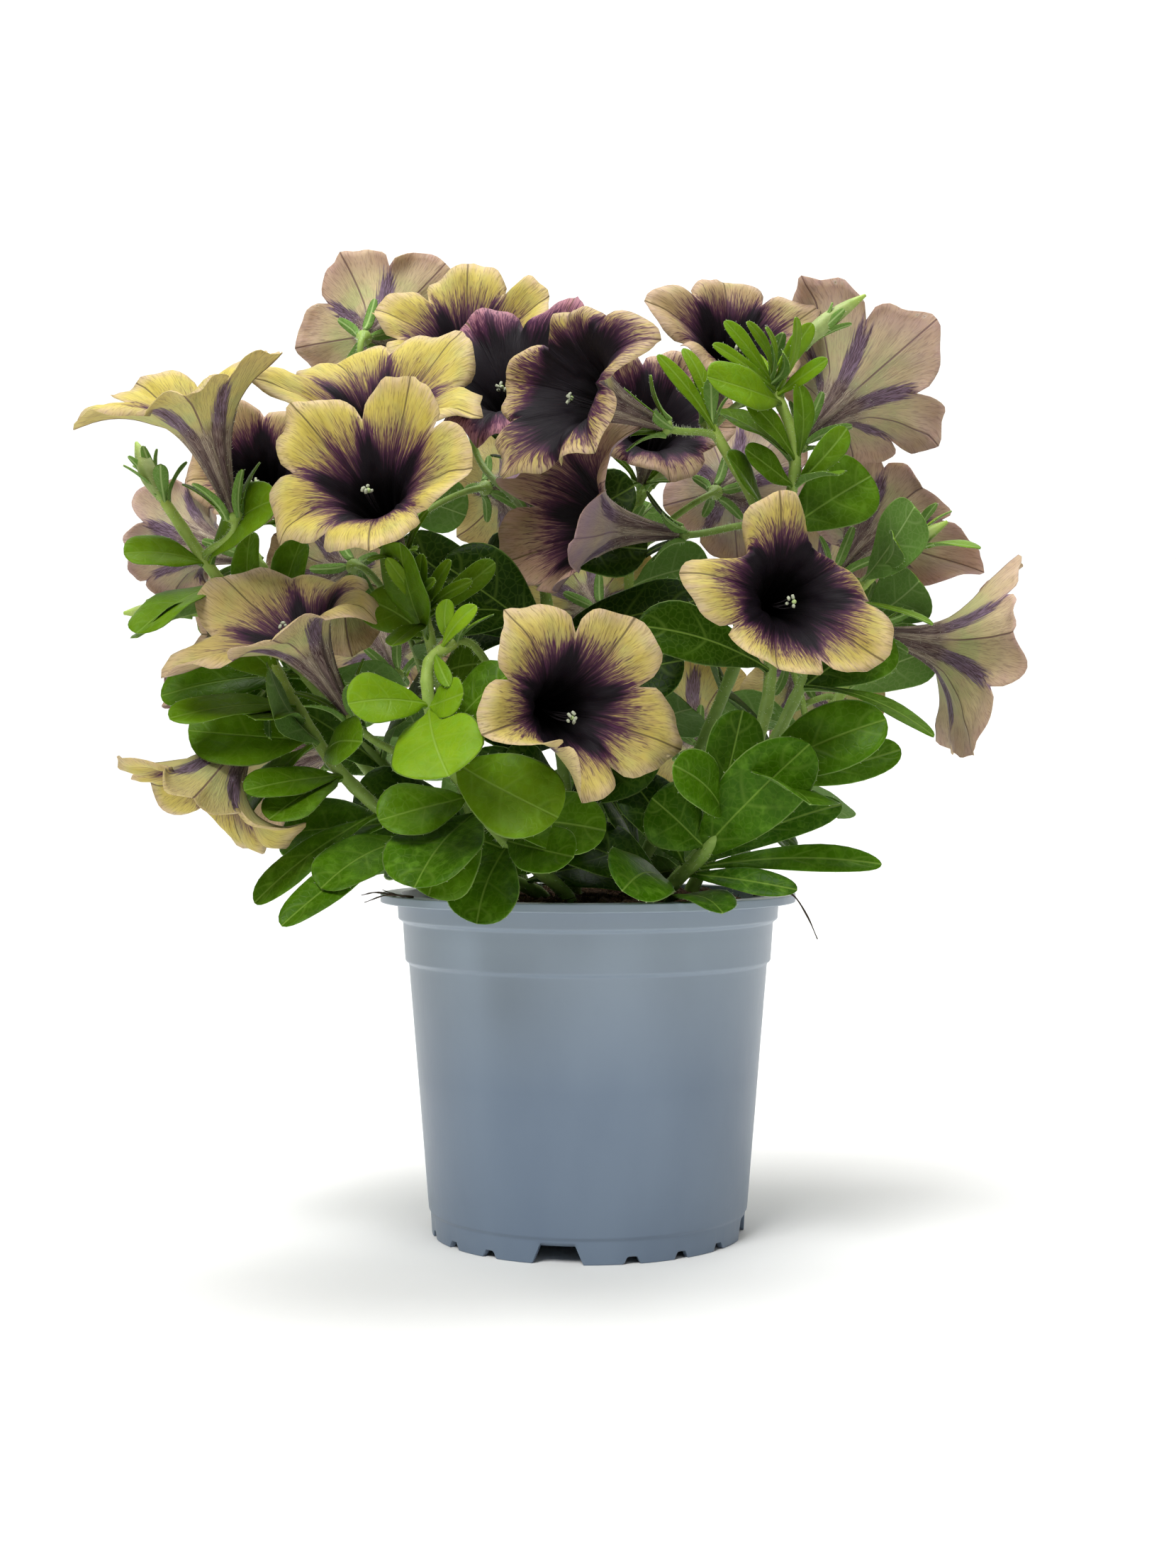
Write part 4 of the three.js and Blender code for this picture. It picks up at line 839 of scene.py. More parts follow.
def pot_floor():
    """The floor plate in four quarters, each with a drain hole: rays from the hole's edge to the
    quarter's outline, over the underside, up the hole and over the top."""
    angle = TAU * np.arange(DRAIN_RAYS) / DRAIN_RAYS
    direction = np.stack([np.cos(angle), np.sin(angle)], -1)
    centre = DRAIN_CIRCLE * math.sqrt(0.5)
    rim = FOOT_INSIDE + 0.6
    with np.errstate(divide="ignore"):
        to_sides = np.where(direction < 0, -centre / direction, np.inf).min(1)
    ahead = direction.sum(1) * centre
    to_rim = -ahead + np.sqrt(ahead**2 + rim**2 - 2 * centre**2)
    reach = np.minimum(to_sides, to_rim)
    shares = [0, 0.02, 0.5, 1]
    rings = np.stack([
        np.insert(centre + direction * lerp(DRAIN_RADIUS, reach, share)[:, None], 2, height, axis=1)
        for height, order in ((FLOOR_UNDERSIDE, 1), (FLOOR_TOP, -1)) for share in shares[::order]
    ])
    quarters = ((1, 0), (0, 1), (-1, 0), (0, -1))
    turns = [np.array([[c, s, 0], [-s, c, 0], [0, 0, 1]]) for c, s in quarters]
    return joined([loft(rings @ turn, endless=True) for turn in turns])


def peat_height(x, y):
    """A low mound with lumps, as in the frame."""
    out = np.hypot(x, y) / PEAT_RADIUS
    lumps = 0.9 * np.sin(0.19 * x + 0.6) * np.cos(0.23 * y) + 0.6 * np.sin(0.41 * x - 0.33 * y)
    return PEAT_EDGE + PEAT_RISE * (1 - out**4) + lumps


def peat_ball():
    """The peat: up the wall from the floor, then over the mound to its middle, with crumbly ground
    of 9, 4 and 2 mm waves on it that fades out at the wall."""
    angle = TAU * np.arange(PEAT_COLUMNS) / PEAT_COLUMNS
    wall = np.array([(BASE_RADIUS - 1.9, FLOOR_TOP + 0.3), (STEP_RADIUS - 2.9, STEP_HEIGHT - 1),
                     (PEAT_RADIUS, BAND_FOOT - 2)])
    radii = np.append(wall[:, 0], PEAT_RADIUS * np.linspace(1, 0.02, 56))[:, None]
    x, y = radii * np.cos(angle), radii * np.sin(angle)
    ground = ripple(x, y, (9, 4, 2), GROUND_SEED)
    z = peat_height(x, y) + ground * smooth(1, 0.9, radii / PEAT_RADIUS)
    z[:len(wall)] = wall[:, 1:]
    return loft(np.stack([x, y, z], -1))


def scattered(count, seed):
    """Seeded places on the peat, even over its area up to 2 mm from the wall."""
    draw = np.random.default_rng(seed)
    r = (PEAT_RADIUS - 2) * np.sqrt(draw.uniform(0, 1, count))
    angle = draw.uniform(0, TAU, count)
    x, y = r * np.cos(angle), r * np.sin(angle)
    return draw, np.stack([x, y, peat_height(x, y)], -1)


def peat_crumbs(count):
    """Crumbs: twenty-sided lumps of 1 to 5 mm, stretched and turned at random, half sunk."""
    draw, places = scattered(count, CRUMB_SEED)
    golden = (1 + math.sqrt(5)) / 2
    base = [(0, a, b * golden) for a in (-1, 1) for b in (-1, 1)]
    corners = unit([turn for x, y, z in base for turn in ((x, y, z), (z, x, y), (y, z, x))])
    gaps = np.linalg.norm(corners[:, None] - corners, axis=-1)
    near = (gaps > 0.1) & (gaps < 1.1)
    faces = [
        (a, b, c) for a in range(12) for b in range(a + 1, 12) for c in range(b + 1, 12)
        if near[a, b] and near[b, c] and near[a, c]
    ]
    faces = [face if np.linalg.det(corners[list(face)]) > 0 else face[::-1] for face in faces]
    sizes = draw.uniform(0.4, 1.0, (count, 1, 3)) * draw.uniform(0.6, 2.4, (count, 1, 1))
    jitter = draw.uniform(0.75, 1.2, (count, 12, 1))
    turn = np.linalg.qr(draw.normal(size=(count, 3, 3)))[0]
    turn *= np.sign(np.linalg.det(turn))[:, None, None]
    lumps = np.einsum("nij,nkj->nki", turn, corners * jitter * sizes)
    return Skin(lumps + places[:, None], (), (12 * np.arange(count))[:, None, None] + np.array(faces))


def peat_fibres(count):
    """Fibres: slim spikes of 3 to 9 mm that lie on the peat, with their tips a little up and
    towards the middle."""
    draw, places = scattered(count, FIBRE_SEED)
    angle = draw.uniform(0, TAU, count)
    rise = draw.uniform(-0.05, 0.45, count)
    level = np.stack([np.cos(angle), np.sin(angle)], -1)
    outwards = (level * places[:, :2]).sum(1) > 0
    level[outwards] *= -1
    directions = np.column_stack([level, rise])
    return hairs(places + UP, directions, draw.uniform(3, 9, count), 0.16)


def litter():
    """Dry litter on the rim: a bent twig over its right edge and three scraps at its left. The first
    number is the radius."""
    skins = []
    for radius, *route in (
        (0.45, (50, -24, 106.5), (57, -25, 107.6), (62, -25, 106.4), (66.4, -24, 100), (69.5, -24, 93)),
        (0.4, (-58, -24, 106.3), (-64, -25, 107.2), (-68.5, -25, 106.4)),
        (0.35, (-52, -34, 106.3), (-60, -32, 106.8), (-67, -30, 104.5)),
        (0.3, (-55, -30, 106.2), (-59, -33, 107.5), (-61, -36, 108.6)),
    ):
        t = np.linspace(0, 1, 24)
        thinning = radius * (1 - 0.6 * t) * (1 + 0.25 * np.sin(19 * t))
        skins.append(loft(rings_along(catmull_rom(route)(t), thinning, 6)))
    return joined(skins)


def blade_frame(blade):
    """A blade's directions along its chord, out of its upper face, and across, and its length."""
    along = blade["tip"] - blade["foot"]
    length = np.linalg.norm(along)
    along = along / length
    face = blade.get("face")
    if face is None:
        flat = np.hypot(along[0], along[1])
        face = np.array([along[0], along[1], 0]) / flat * -along[2] + UP * flat
    out = unit(face - along * np.dot(face, along))
    return along, out, np.cross(along, out), length


def blade_outline(s):
    """Share of a blade's half width at a place from foot to tip, widest past the middle."""
    return s**1.2 * (1 - s) ** 0.5 / 0.3571


def blade_corners(blade):
    """The corners that the frame's faceted blade has: rows of points over a midrib that is a
    parabola, with the two halves folded up, on both faces."""
    along, out, across, length = blade_frame(blade)
    points = []
    for s, places in [*blade["rows"], (1, (0,))]:
        normal = unit(out - along * 4 * ARCH * (1 - 2 * s))
        centre = blade["foot"] + along * length * s + out * 4 * ARCH * length * s * (1 - s)
        half = blade["width"] / 2 * blade_outline(s)
        for x in places:
            edge = centre + across * half * x + normal * half * blade.get("fold", FOLD) * abs(x)
            points += [edge + normal * BLADE_HALF_THICKNESS, edge - normal * BLADE_HALF_THICKNESS]
    return np.array(points)


def blade_try(blade, turn, lift, size):
    """A blade turned round the upright through its foot, lifted and scaled."""
    chord = blade["tip"] - blade["foot"]
    bearing = math.atan2(chord[1], chord[0]) + math.radians(turn)
    rise = math.atan2(chord[2], math.hypot(chord[0], chord[1])) + math.radians(lift)
    rise = min(max(rise, -1.4), 1.4)
    length = np.linalg.norm(chord) * size
    step = (math.cos(rise) * math.cos(bearing), math.cos(rise) * math.sin(bearing), math.sin(rise))
    return {**blade, "tip": blade["foot"] + length * np.array(step), "width": blade["width"] * size}


def blades_in_frame(wanted, corners):
    """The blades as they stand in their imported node, without those that the frame left out. Each is
    the try of whose corners the node has the largest share, and over 0.4."""
    placed = []
    for blade in wanted:
        best, found = None, 0.4
        for change in BLADE_TRIES:
            changed = blade_try(blade, *change)
            gaps = np.linalg.norm(blade_corners(changed)[:, None] - corners, axis=-1).min(1)
            share = np.mean(gaps < 0.02)
            if share > found:
                best, found = changed, share
        if best:
            placed.append(best)
    return placed


def leaf(blade, seed):
    """A leaf over its frame blade's midrib, a parabola. Across it the halves rise as a rounded fold
    and droop at the edge, which is gently waved; the section is a lens with a rib underneath. At the
    foot it draws in to a round petiole."""
    draw = np.random.default_rng(seed)
    along, out, across, length = blade_frame(blade)
    rows, half_count = blade.get("grid", (20, 5))
    s = (0.5 - 0.5 * np.cos(np.pi * np.linspace(0, 0.995, rows)))[:, None]
    x = np.sin(np.linspace(-np.pi / 2, np.pi / 2, 2 * half_count + 1))
    x, face = np.append(x, x[-2:0:-1]), np.append(np.ones(len(x)), -np.ones(len(x) - 2))
    face[[0, 2 * half_count]] = 0
    outline = np.maximum(blade.get("outline", blade_outline)(s), 1e-3)
    petiole = 0.75 * (1 - smooth(0.0, 0.3, s))
    half = np.hypot(blade["width"] * 0.54 * outline * smooth(0.02, 0.22, s), petiole + 0.15)
    gap = half * x
    fold = blade.get("fold", FOLD) * half * (np.sqrt(x**2 + 0.02) - 0.14 - 0.45 * x**4)
    phase, waves = draw.uniform(0, TAU, 2), blade.get("wave", 0.05) * half
    wave = waves * x**2 * np.sin(TAU * 1.6 * s + np.where(x > 0, *phase))
    sink = -0.3 * np.exp(-(gap / 0.8) ** 2) * smooth(0.05, 0.3, s) * np.clip(half / 6, 0, 1)
    thick = lerp(0.28, 0.9, petiole / 0.75) * np.sqrt(np.clip(1 - x**2, 0, 1))
    rib = 0.55 * (1 - s) * np.exp(-(gap / 0.7) ** 2) * (face < 0)
    bow = blade.get("bow", 0) * draw.uniform(-1, 1) * length * s * (1 - s)
    normal = unit(out - along * 4 * ARCH * (1 - 2 * s))[:, None]
    centre = blade["foot"] + along * length * s + out * 4 * ARCH * length * s * (1 - s) + across * bow
    points = (centre[:, None] + across * gap[..., None]
              + normal * (fold + wave + sink + face * (thick + rib))[..., None])
    chance = draw.uniform()
    kind = np.stack(np.broadcast_arrays(blade["young"], (1 - face) / 2, chance), -1)
    place = np.stack([x + 0 * s, s + 0 * x, gap / 10], -1)
    return loft(points, leaf=kind, blade=place), points


def margin_hairs(points, seed):
    """Down along a leaf's edge, pointing outwards and to the tip."""
    draw = np.random.default_rng(seed)
    count, length = 26, 0.6
    row = draw.integers(3, len(points) - 1, count)
    column = draw.choice([0, points.shape[1] // 2], count)
    root = points[row, column]
    outward = unit(root - points[row].mean(1))
    forward = unit(root - points[row - 1, column])
    direction = outward + 0.5 * forward + draw.normal(0, 0.25, (count, 3))
    return hairs(root, direction, length * draw.uniform(0.6, 1.2, count), HAIR_RADIUS)


def surface_hairs(rings, seed, count, length):
    """Down on a round piece: spikes on seeded spots, square to the surface and a little along it."""
    draw = np.random.default_rng(seed)
    row = draw.integers(1, len(rings) - 1, count)
    column = draw.integers(0, rings.shape[1], count)
    share = draw.uniform(0, 1, (count, 1))
    root = rings[row, column] * share + rings[row - 1, column] * (1 - share)
    outward = unit(root - rings[row].mean(1) * share - rings[row - 1].mean(1) * (1 - share))
    direction = outward + draw.normal(0, 0.3, (count, 3))
    return hairs(root - 0.1 * outward, direction, length * draw.uniform(0.6, 1.2, count), HAIR_RADIUS)


def lobe_value(values, angle):
    """A value that each lobe has for itself, eased into its neighbours' at an angle between them."""
    place = (angle / TAU * LOBES) % LOBES
    lobe = np.floor(place).astype(int) % LOBES
    values = np.asarray(values, float)
    return lerp(values[lobe], values[(lobe + 1) % LOBES], smooth(0, 1, place - np.floor(place)))


def corolla(bloom, seed):
    """The trumpet: its profile is a cubic curve from the calyx to the limb's edge, and beyond the
    throat the limb is rolled into an arc, by each lobe's bend and more where the rim is folded. A
    lobe is longest at its small point, and its edge is nicked by three short waves. Each lobe's two
    halves swell like pillows beside its sunken midrib, the seams between lobes are pinched, and slow
    waves run round the edge. The limb is crumpled, each lobe is twisted and its lip rolls. The skin
    runs up the outside and down the inside."""
    draw = np.random.default_rng(seed)
    columns, outside, inside = 100, 30, 28
    angle = TAU * np.arange(columns) / columns
    v = np.concatenate([np.linspace(0, 1, outside), np.linspace(1, 0.06, inside)])[:, None]
    side = np.concatenate([np.ones(outside), -np.ones(inside)])[:, None]
    radius = bloom["radius"]

    # Lobes: their lengths, notches, nicks and points
    off_rib = np.abs((angle / TAU * LOBES + 0.5) % 1 - 0.5) * TAU / LOBES
    waist = 1 - np.abs(np.cos(LOBES * angle / 2)) ** 0.45
    phases = draw.uniform(0, TAU, 3)
    nicks = sum(np.sin(cycles * angle + phase) for cycles, phase in zip((9, 14, 23), phases))
    point = lobe_value(draw.uniform(0.03, 0.13, LOBES), angle) * np.exp(-(off_rib / 0.11) ** 2)
    lobe = lobe_value(bloom["reaches"], angle)
    lobe = lobe * (1 - bloom["notch"] * waist) * (1 + 0.012 * nicks) * (1 + point)

    # Profile: distance out from the tube's axis, and along it forwards from the throat
    w = 1 - v
    weights = (w**3, 3 * w * w * v, 3 * w * v * v, v**3)
    plain_out = sum(a * b for a, b in zip(weights, (*TUBE_RADII, radius)))
    along = sum(a * b for a, b in zip(weights, (-TUBE_LENGTH, -0.45 * TUBE_LENGTH, -1, 0)))
    reach = np.maximum(0, plain_out - THROAT_RADIUS)
    share = reach / (radius - THROAT_RADIUS)
    limb = reach * lobe
    roll = lobe_value(bloom["bends"], angle)
    for centre, width, amount in bloom["folds"]:
        off = (angle - math.radians(centre) + np.pi) % TAU - np.pi
        roll = roll + amount * np.exp(-(off / math.radians(width)) ** 2)
    roll = roll / (radius - THROAT_RADIUS)
    roll = np.where(np.abs(roll) < 1e-4, 1e-4, roll)
    out = np.where(limb > 0, THROAT_RADIUS + np.sin(roll * limb) / roll, plain_out)
    along = along + (1 - np.cos(roll * limb)) / roll

    # Waves, crumples, pillows, twist and lip along the axis, then the ribs of the tube
    rib = out * off_rib
    seam = out * (TAU / LOBES / 2 - off_rib)
    waves = sum(height * np.sin(cycles * angle + phase) for height, cycles, phase in zip(
        (1.3, 1.3, 0.5), (3, 7, 13), draw.uniform(0, TAU, 3)))
    crumples = ripple(out * np.cos(angle), out * np.sin(angle), (16, 9), seed)
    swell, twist, lip = (lobe_value(draw.uniform(low, high, LOBES), angle)
                         for low, high in ((1.2, 2.8), (-1.8, 1.8), (-2.0, 0.8)))
    along = (along + waves * share**2 + 0.28 * share * crumples
             + swell * np.abs(np.sin(LOBES * angle)) * smooth(0.1, 0.9, share)
             + twist * np.sin(LOBES * angle) * share**2 + lip * smooth(0.72, 1, share) ** 2
             - 0.5 * np.exp(-(rib / 0.8) ** 2) * smooth(0, 0.2, share) * (1 - 0.5 * share)
             - 0.5 * np.exp(-(seam / 1.6) ** 2) * smooth(0, 0.5, share))
    out = out + 0.35 * np.cos(2 * LOBES * angle) * smooth(0.0, 0.3, v) * (share < 0.01)

    turned = angle + math.radians(bloom["turn"])
    middle = (bloom["throat"] + bloom["facing"] * along[..., None]
              + bloom["right"] * (out * np.cos(turned))[..., None]
              + bloom["over"] * (out * np.sin(turned))[..., None])
    slope = np.gradient(middle, axis=0) * side[..., None]
    slope[outside - 1], slope[outside] = slope[outside - 2], slope[outside + 1]
    normal = unit(np.cross(np.roll(middle, -1, 1) - np.roll(middle, 1, 1), slope))
    thin = 0.22 * (1 - 0.6 * smooth(0.9, 1, v)) * side
    points = middle + normal * thin[..., None]
    tube = np.where(plain_out < THROAT_RADIUS, plain_out / THROAT_RADIUS - 1, share)
    spot = np.stack([tube + 0 * angle, rib / 10, seam / 10], -1)
    ray = np.stack(np.broadcast_arrays(np.cos(angle), np.sin(angle), 0.08 * tube + seed), -1)
    return loft(points, petal=spot, ray=ray, tone=np.array(bloom["tone"]),
                inner=((1 - side) / 2)[..., None]), points[:outside]


def stamens(bloom, seed):
    """Five anthers on their filaments round a style, crowded low in the throat: each anther is a
    small lump, and the style's round stigma stands among them."""
    draw = np.random.default_rng(seed)
    foot = bloom["throat"] - bloom["facing"] * 0.6 * TUBE_LENGTH
    low = unit(bloom["right"] * draw.uniform(-0.4, 0.4) - bloom["over"]) * 3.2
    skins = []
    for k in range(LOBES + 1):
        stigma = k == LOBES
        angle = TAU * k / LOBES + draw.uniform(-0.4, 0.4)
        spread = 0.5 if stigma else draw.uniform(0.8, 1.5)
        tip = (bloom["throat"] - bloom["facing"] * draw.uniform(2.5, 5.0) + low
               + spread * (bloom["right"] * math.cos(angle) + bloom["over"] * math.sin(angle)))
        filament = bezier([foot, tip - bloom["facing"] * 8, tip])(np.linspace(0, 1, 6))
        skins.append(loft(rings_along(filament, np.full(6, 0.16), 4), ripe=0))
        axis = unit(draw.normal(size=3))
        end = np.linspace(-1, 1, 8)[1:-1]
        centres = tip + axis * end[:, None] * (0.7 if stigma else 0.95)
        radii = (0.7 if stigma else 0.5) * np.sqrt(1 - end**2)
        rings = rings_along(centres + draw.normal(0, 1e-3, centres.shape), radii, 7)
        skins.append(loft(rings, ripe=(1, float(stigma), 0)))
    return joined(skins)


def sepals(middle, axis, side, other, seed, foot, out, ahead, cup, outline, **look):
    """Five straps round an axis, the first towards side. Each starts foot from the middle and ends
    out from it and ahead along the axis; its half width goes with 4 s (1 - s) to the power outline."""
    straps = []
    for k in range(LOBES):
        outward = side * math.cos(TAU * k / LOBES) + other * math.sin(TAU * k / LOBES)
        straps.append(leaf(dict(
            foot=middle + outward * foot, tip=middle + outward * out + axis * ahead,
            face=axis * cup - outward, fold=0.2, grid=(12, 3),
            outline=lambda s: (4 * s * (1 - s)) ** outline, **look,
        ), seed + k))
    return straps


def calyx_and_stalk(curve, bloom, seed):
    """A flower stalk that widens into the calyx, whose rim closes over round the tube, with five
    strap-shaped sepals. Returns the skin, the rings that carry down, and the sepals."""
    t = np.concatenate([np.linspace(0, 0.9, 24), np.linspace(0.92, 1, 7)])
    radii = STALK_RADIUS + (CALYX_RADIUS - 0.6 - STALK_RADIUS) * smooth(0.9, 1.0, t) ** 1.5
    centres = curve(t)
    middle, facing, right, over = centres[-1], bloom["facing"], bloom["right"], bloom["over"]
    lip = middle + facing * np.array([[0.7], [1.3], [1.6]])
    rings = rings_along(np.vstack([centres, lip]), np.append(radii, [2.6, 2.0, 1.2]), 12)
    turn, lean = math.radians(bloom["turn"]) + TAU / LOBES / 2, math.radians(SEPAL_SPREAD)
    side = right * math.cos(turn) + over * math.sin(turn)
    straps = sepals(
        middle, facing, side, np.cross(facing, side), seed, 1.9,
        CALYX_RADIUS + SEPAL_LENGTH * math.sin(lean), SEPAL_LENGTH * math.cos(lean), 0.6, 0.3,
        width=3.2, young=0.35, bow=0.1,
    )
    return loft(rings, leaf=(0.25, 0, 0)), rings, straps


def bud(curve, at, tip, length, seed):
    """A closed bud: a ribbed spindle on a thin stalk, held by five slim sepals."""
    start, tip = curve(np.array(at)), np.array(tip, float)
    leaving = start + heading(curve, np.array(at)) * 0.4 * np.linalg.norm(tip - start)
    route = bezier([start, leaving, tip])
    whole = np.linalg.norm(np.diff(route(np.linspace(0, 1, 200)), axis=0), axis=1).sum()
    share = min(0.8, length / whole)
    places = [0, 0.5 * (1 - share), 1 - share, 1 - 0.6 * share, 1 - 0.25 * share, 1]
    profile = catmull_rom(np.column_stack([places, (0.9, 0.9, 1.4, 2.7, 2, 0.5)]))
    t, radii = profile(np.linspace(0, 1, 40)).T
    sides = 15
    ribs = 1 + 0.1 * np.cos(TAU * LOBES * np.arange(sides) / sides)
    rings = rings_along(route(t), radii[:, None] * ribs, sides)
    young = smooth(1 - share, 1, t)
    petal = smooth(1 - share, 1 - 0.8 * share, t) * smooth(1, 1 - 0.3 * share, t)
    kind = np.stack([0.15 + 0.6 * young, 0.6 * petal, 0 * t], -1)[:, None]
    base = route(np.array(1 - 0.95 * share))
    axis = unit(tip - base)
    side = unit(np.cross(axis, UP + [0.1, 0.2, 0]))
    straps = sepals(base, axis, side, np.cross(axis, side), seed, 0.8, 4.6, 0.75 * length, 0, 0.35,
                    width=3.0, young=0.85)
    return loft(rings, leaf=kind), rings, straps


def with_painted_depth_shade(skin):
    """The skin with how deep in the plant its points are: 1 in an ellipsoid round the middle, and 0
    beyond one of twice its size. The leaf and stem colours take painted shade from it."""
    out = np.linalg.norm((skin.points - (0, 0, 180)) / (130, 110, 130), axis=1)
    skin.values["painted_depth_shade"] = np.repeat(1 - smooth(0.45, 0.9, out)[:, None], 3, axis=1)
    return skin


def facing_out(foot):
    """Leaves turn their upper face outwards more than upwards."""
    return unit([foot[0], foot[1], 0]) * 0.85 + UP * 0.55


PAIR, TRIO = (-1, 1), (-1, 0, 1)
LARGE_ROWS = [(0.22, PAIR), (0.52, TRIO), (0.85, TRIO)]
MIDDLE_ROWS = [(0.34, PAIR), (0.76, TRIO)]
SMALL_ROWS = [(0.62, PAIR)]


def key_blades(curve, leaves, crown):
    """Leaves with a place of their own, which look to the front as well. They are youngest at the
    stem's crown."""
    return [dict(
        foot=curve(np.array(at)), tip=np.array(tip, float), width=width,
        face=facing_out(tip) + FRONT * 0.7, rows=LARGE_ROWS if width > 15 else MIDDLE_ROWS,
        young=min(0.9, 0.75 * (at / crown) ** 2.5), wave=0.09, bow=0.25,
    ) for at, tip, width in leaves]


def tuft_blades(curve, seed):
    """The tuft of young leaves at a stem's end."""
    draw = even_draws(seed)
    foot, along = curve(np.array(0.985)), heading(curve, np.array(1.0))
    blades = []
    for k in range(4):
        angle = math.radians(90 * k + 40 * next(draw))
        level = np.array([math.cos(angle), math.sin(angle), 0])
        length = 13 + 5 * next(draw)
        tip = foot + level * 0.65 * length + along * 0.45 * length + UP * 0.45 * length
        blades.append(dict(foot=foot, tip=tip, width=4.2, fold=0, rows=SMALL_ROWS, young=0.9, bow=0.2))
    return blades


def ring_blades(curve, ring, seed):
    """Leaves set by rule: a spiral up the stem, turned towards the outside, lower ones longer."""
    count, first_turn, lowest, highest = ring
    draw = even_draws(seed)
    blades = []
    for k in range(count):
        at = lerp(lowest, highest, k / (count - 1))
        foot = curve(np.array(at))
        angle = math.radians(first_turn + TURN * k)
        outside = unit(foot * [1, 1, 0]) * 0.5
        level = unit(np.array([math.cos(angle), math.sin(angle), 0]) + outside)
        length = lerp(42, 29, at) * (0.85 + 0.3 * next(draw))
        rise = math.radians(lerp(-12, 24, at) + 70 * (next(draw) - 0.5))
        tip = foot + level * length * math.cos(rise) + UP * length * math.sin(rise)
        blades.append(dict(
            foot=foot, tip=tip, width=length * (0.54 + 0.14 * next(draw)), face=facing_out(foot),
            rows=MIDDLE_ROWS, young=0.5 * at**2, wave=0.07, bow=0.25,
        ))
    return blades


def stalk_in_frame(curve, bloom, corners):
    """The stalk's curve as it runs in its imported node: it leaves the stem along it, bows, and meets
    the calyx in line with the tube. The bow is the one whose ring corners the node has."""
    start = curve(np.array(bloom["at"]))
    calyx = bloom["throat"] - bloom["facing"] * (TUBE_LENGTH + CALYX_GAP)
    reach = np.linalg.norm(calyx - start)
    side = unit(np.cross(calyx - start, UP))
    direction = heading(curve, np.array(bloom["at"]))
    best, most = None, -1
    for sideways, upward in STALK_TRIES:
        bow = side * sideways + UP * upward
        leaving = start + direction * 0.35 * reach + bow
        arriving = calyx - bloom["facing"] * 0.4 * reach + bow * 0.5
        stalk = bezier([start, leaving, arriving, calyx])
        gaps = np.linalg.norm(stalk(np.array([0.33, 0.65, 0.92]))[:, None] - corners, axis=-1)
        found = np.sum(np.abs(gaps - STALK_RADIUS) < 0.01)
        if found > most:
            best, most = stalk, found
    return best


def bloom_from(at, throat, facing, radius, turn, bends, notch, tone, reaches=(1,) * LOBES):
    """A bloom's row with names, and with its directions to the right and over."""
    facing = unit(facing)
    right = unit(np.cross(UP, facing))
    return dict(
        at=at, throat=np.array(throat, float), facing=facing, right=right,
        over=np.cross(facing, right), radius=radius, turn=turn, bends=bends, notch=notch,
        tone=tone, reaches=reaches,
    )


def leafy_stem(place, number, path, blooms, ring, leaves=(), buds=(), folds={}, fine=(), crown=1,
               trimmed=None):
    """One stem with its stalks, calyces, buds, leaves and down, and its blooms."""
    name = f"stem_{place}"
    corners = node_corners(name)
    (x, y), *rest = path
    curve = catmull_rom([(x, y, ROOT_DEPTH), (x, y, PEAT_LEVEL), *rest])
    t = np.linspace(0, 1, 90)
    swelling = 1 + 0.12 * np.cos(TAU * 7 * t) ** 8
    radii = lerp(STEM_FOOT_RADIUS, STEM_TIP_RADIUS, t) * swelling * (1 - 0.75 * smooth(0.985, 1, t))
    bar = rings_along(curve(t), radii, 14)
    length = np.linalg.norm(np.diff(curve(t), axis=0), axis=1).sum()
    young = np.stack([0.9 * t**3, 0 * t, 0 * t], -1)[:, None]
    seed = 1000 * (number + 1)
    green, straps = [loft(bar, leaf=young)], []
    down = [surface_hairs(bar, seed, int(5 * length), 1.2)]
    for k, values in enumerate(blooms):
        bloom = bloom_from(*values)
        bloom["folds"] = folds.get(k + 1, ())
        stalk = stalk_in_frame(curve, bloom, corners)
        skin, rings, five = calyx_and_stalk(stalk, bloom, seed + 10 * k)
        green.append(skin)
        straps += five
        down.append(surface_hairs(rings, seed + k, 260, 1.1))
        petals, outside = corolla(bloom, number * 7 + k)
        bloom_name = f"{place}_{k + 1}"
        piece(f"corolla_{bloom_name}", petals, PETAL, "petal", f"bloom_{bloom_name}")
        piece(f"stamens_{bloom_name}", stamens(bloom, seed + k), POLLEN, "petal")
        down.append(surface_hairs(outside[:20], seed + 50 + k, 220, 0.9))
    for k, values in enumerate(buds):
        skin, rings, five = bud(curve, *values, seed + 100 + 10 * k)
        green.append(skin)
        straps += five
        down.append(surface_hairs(rings, seed + 60 + k, 160, 0.9))
    blades = blades_in_frame(
        key_blades(curve, leaves, crown) + tuft_blades(curve, TUFT_SEED + number)
        + ring_blades(curve, ring, RING_SEED + number), corners)
    for blade in blades:
        if blade["rows"] is SMALL_ROWS:
            blade["tip"] = lerp(blade["foot"], blade["tip"], 0.85)
    if trimmed:
        k, size = trimmed
        blades[k] = blade_try(blades[k], 0, 0, size)
    blades += key_blades(curve, fine, 1)
    straps += [leaf(blade, seed + 200 + k) for k, blade in enumerate(blades)]
    down += [margin_hairs(points, seed + 500 + k) for k, (_, points) in enumerate(straps)]
    piece(f"stalks_{place}", with_painted_depth_shade(joined(green)), STEM, "foliage", name)
    piece(f"leaves_{place}", with_painted_depth_shade(joined([skin for skin, _ in straps])), LEAF, "foliage", name)
    piece(f"down_{place}", joined(down), DOWN, "foliage")


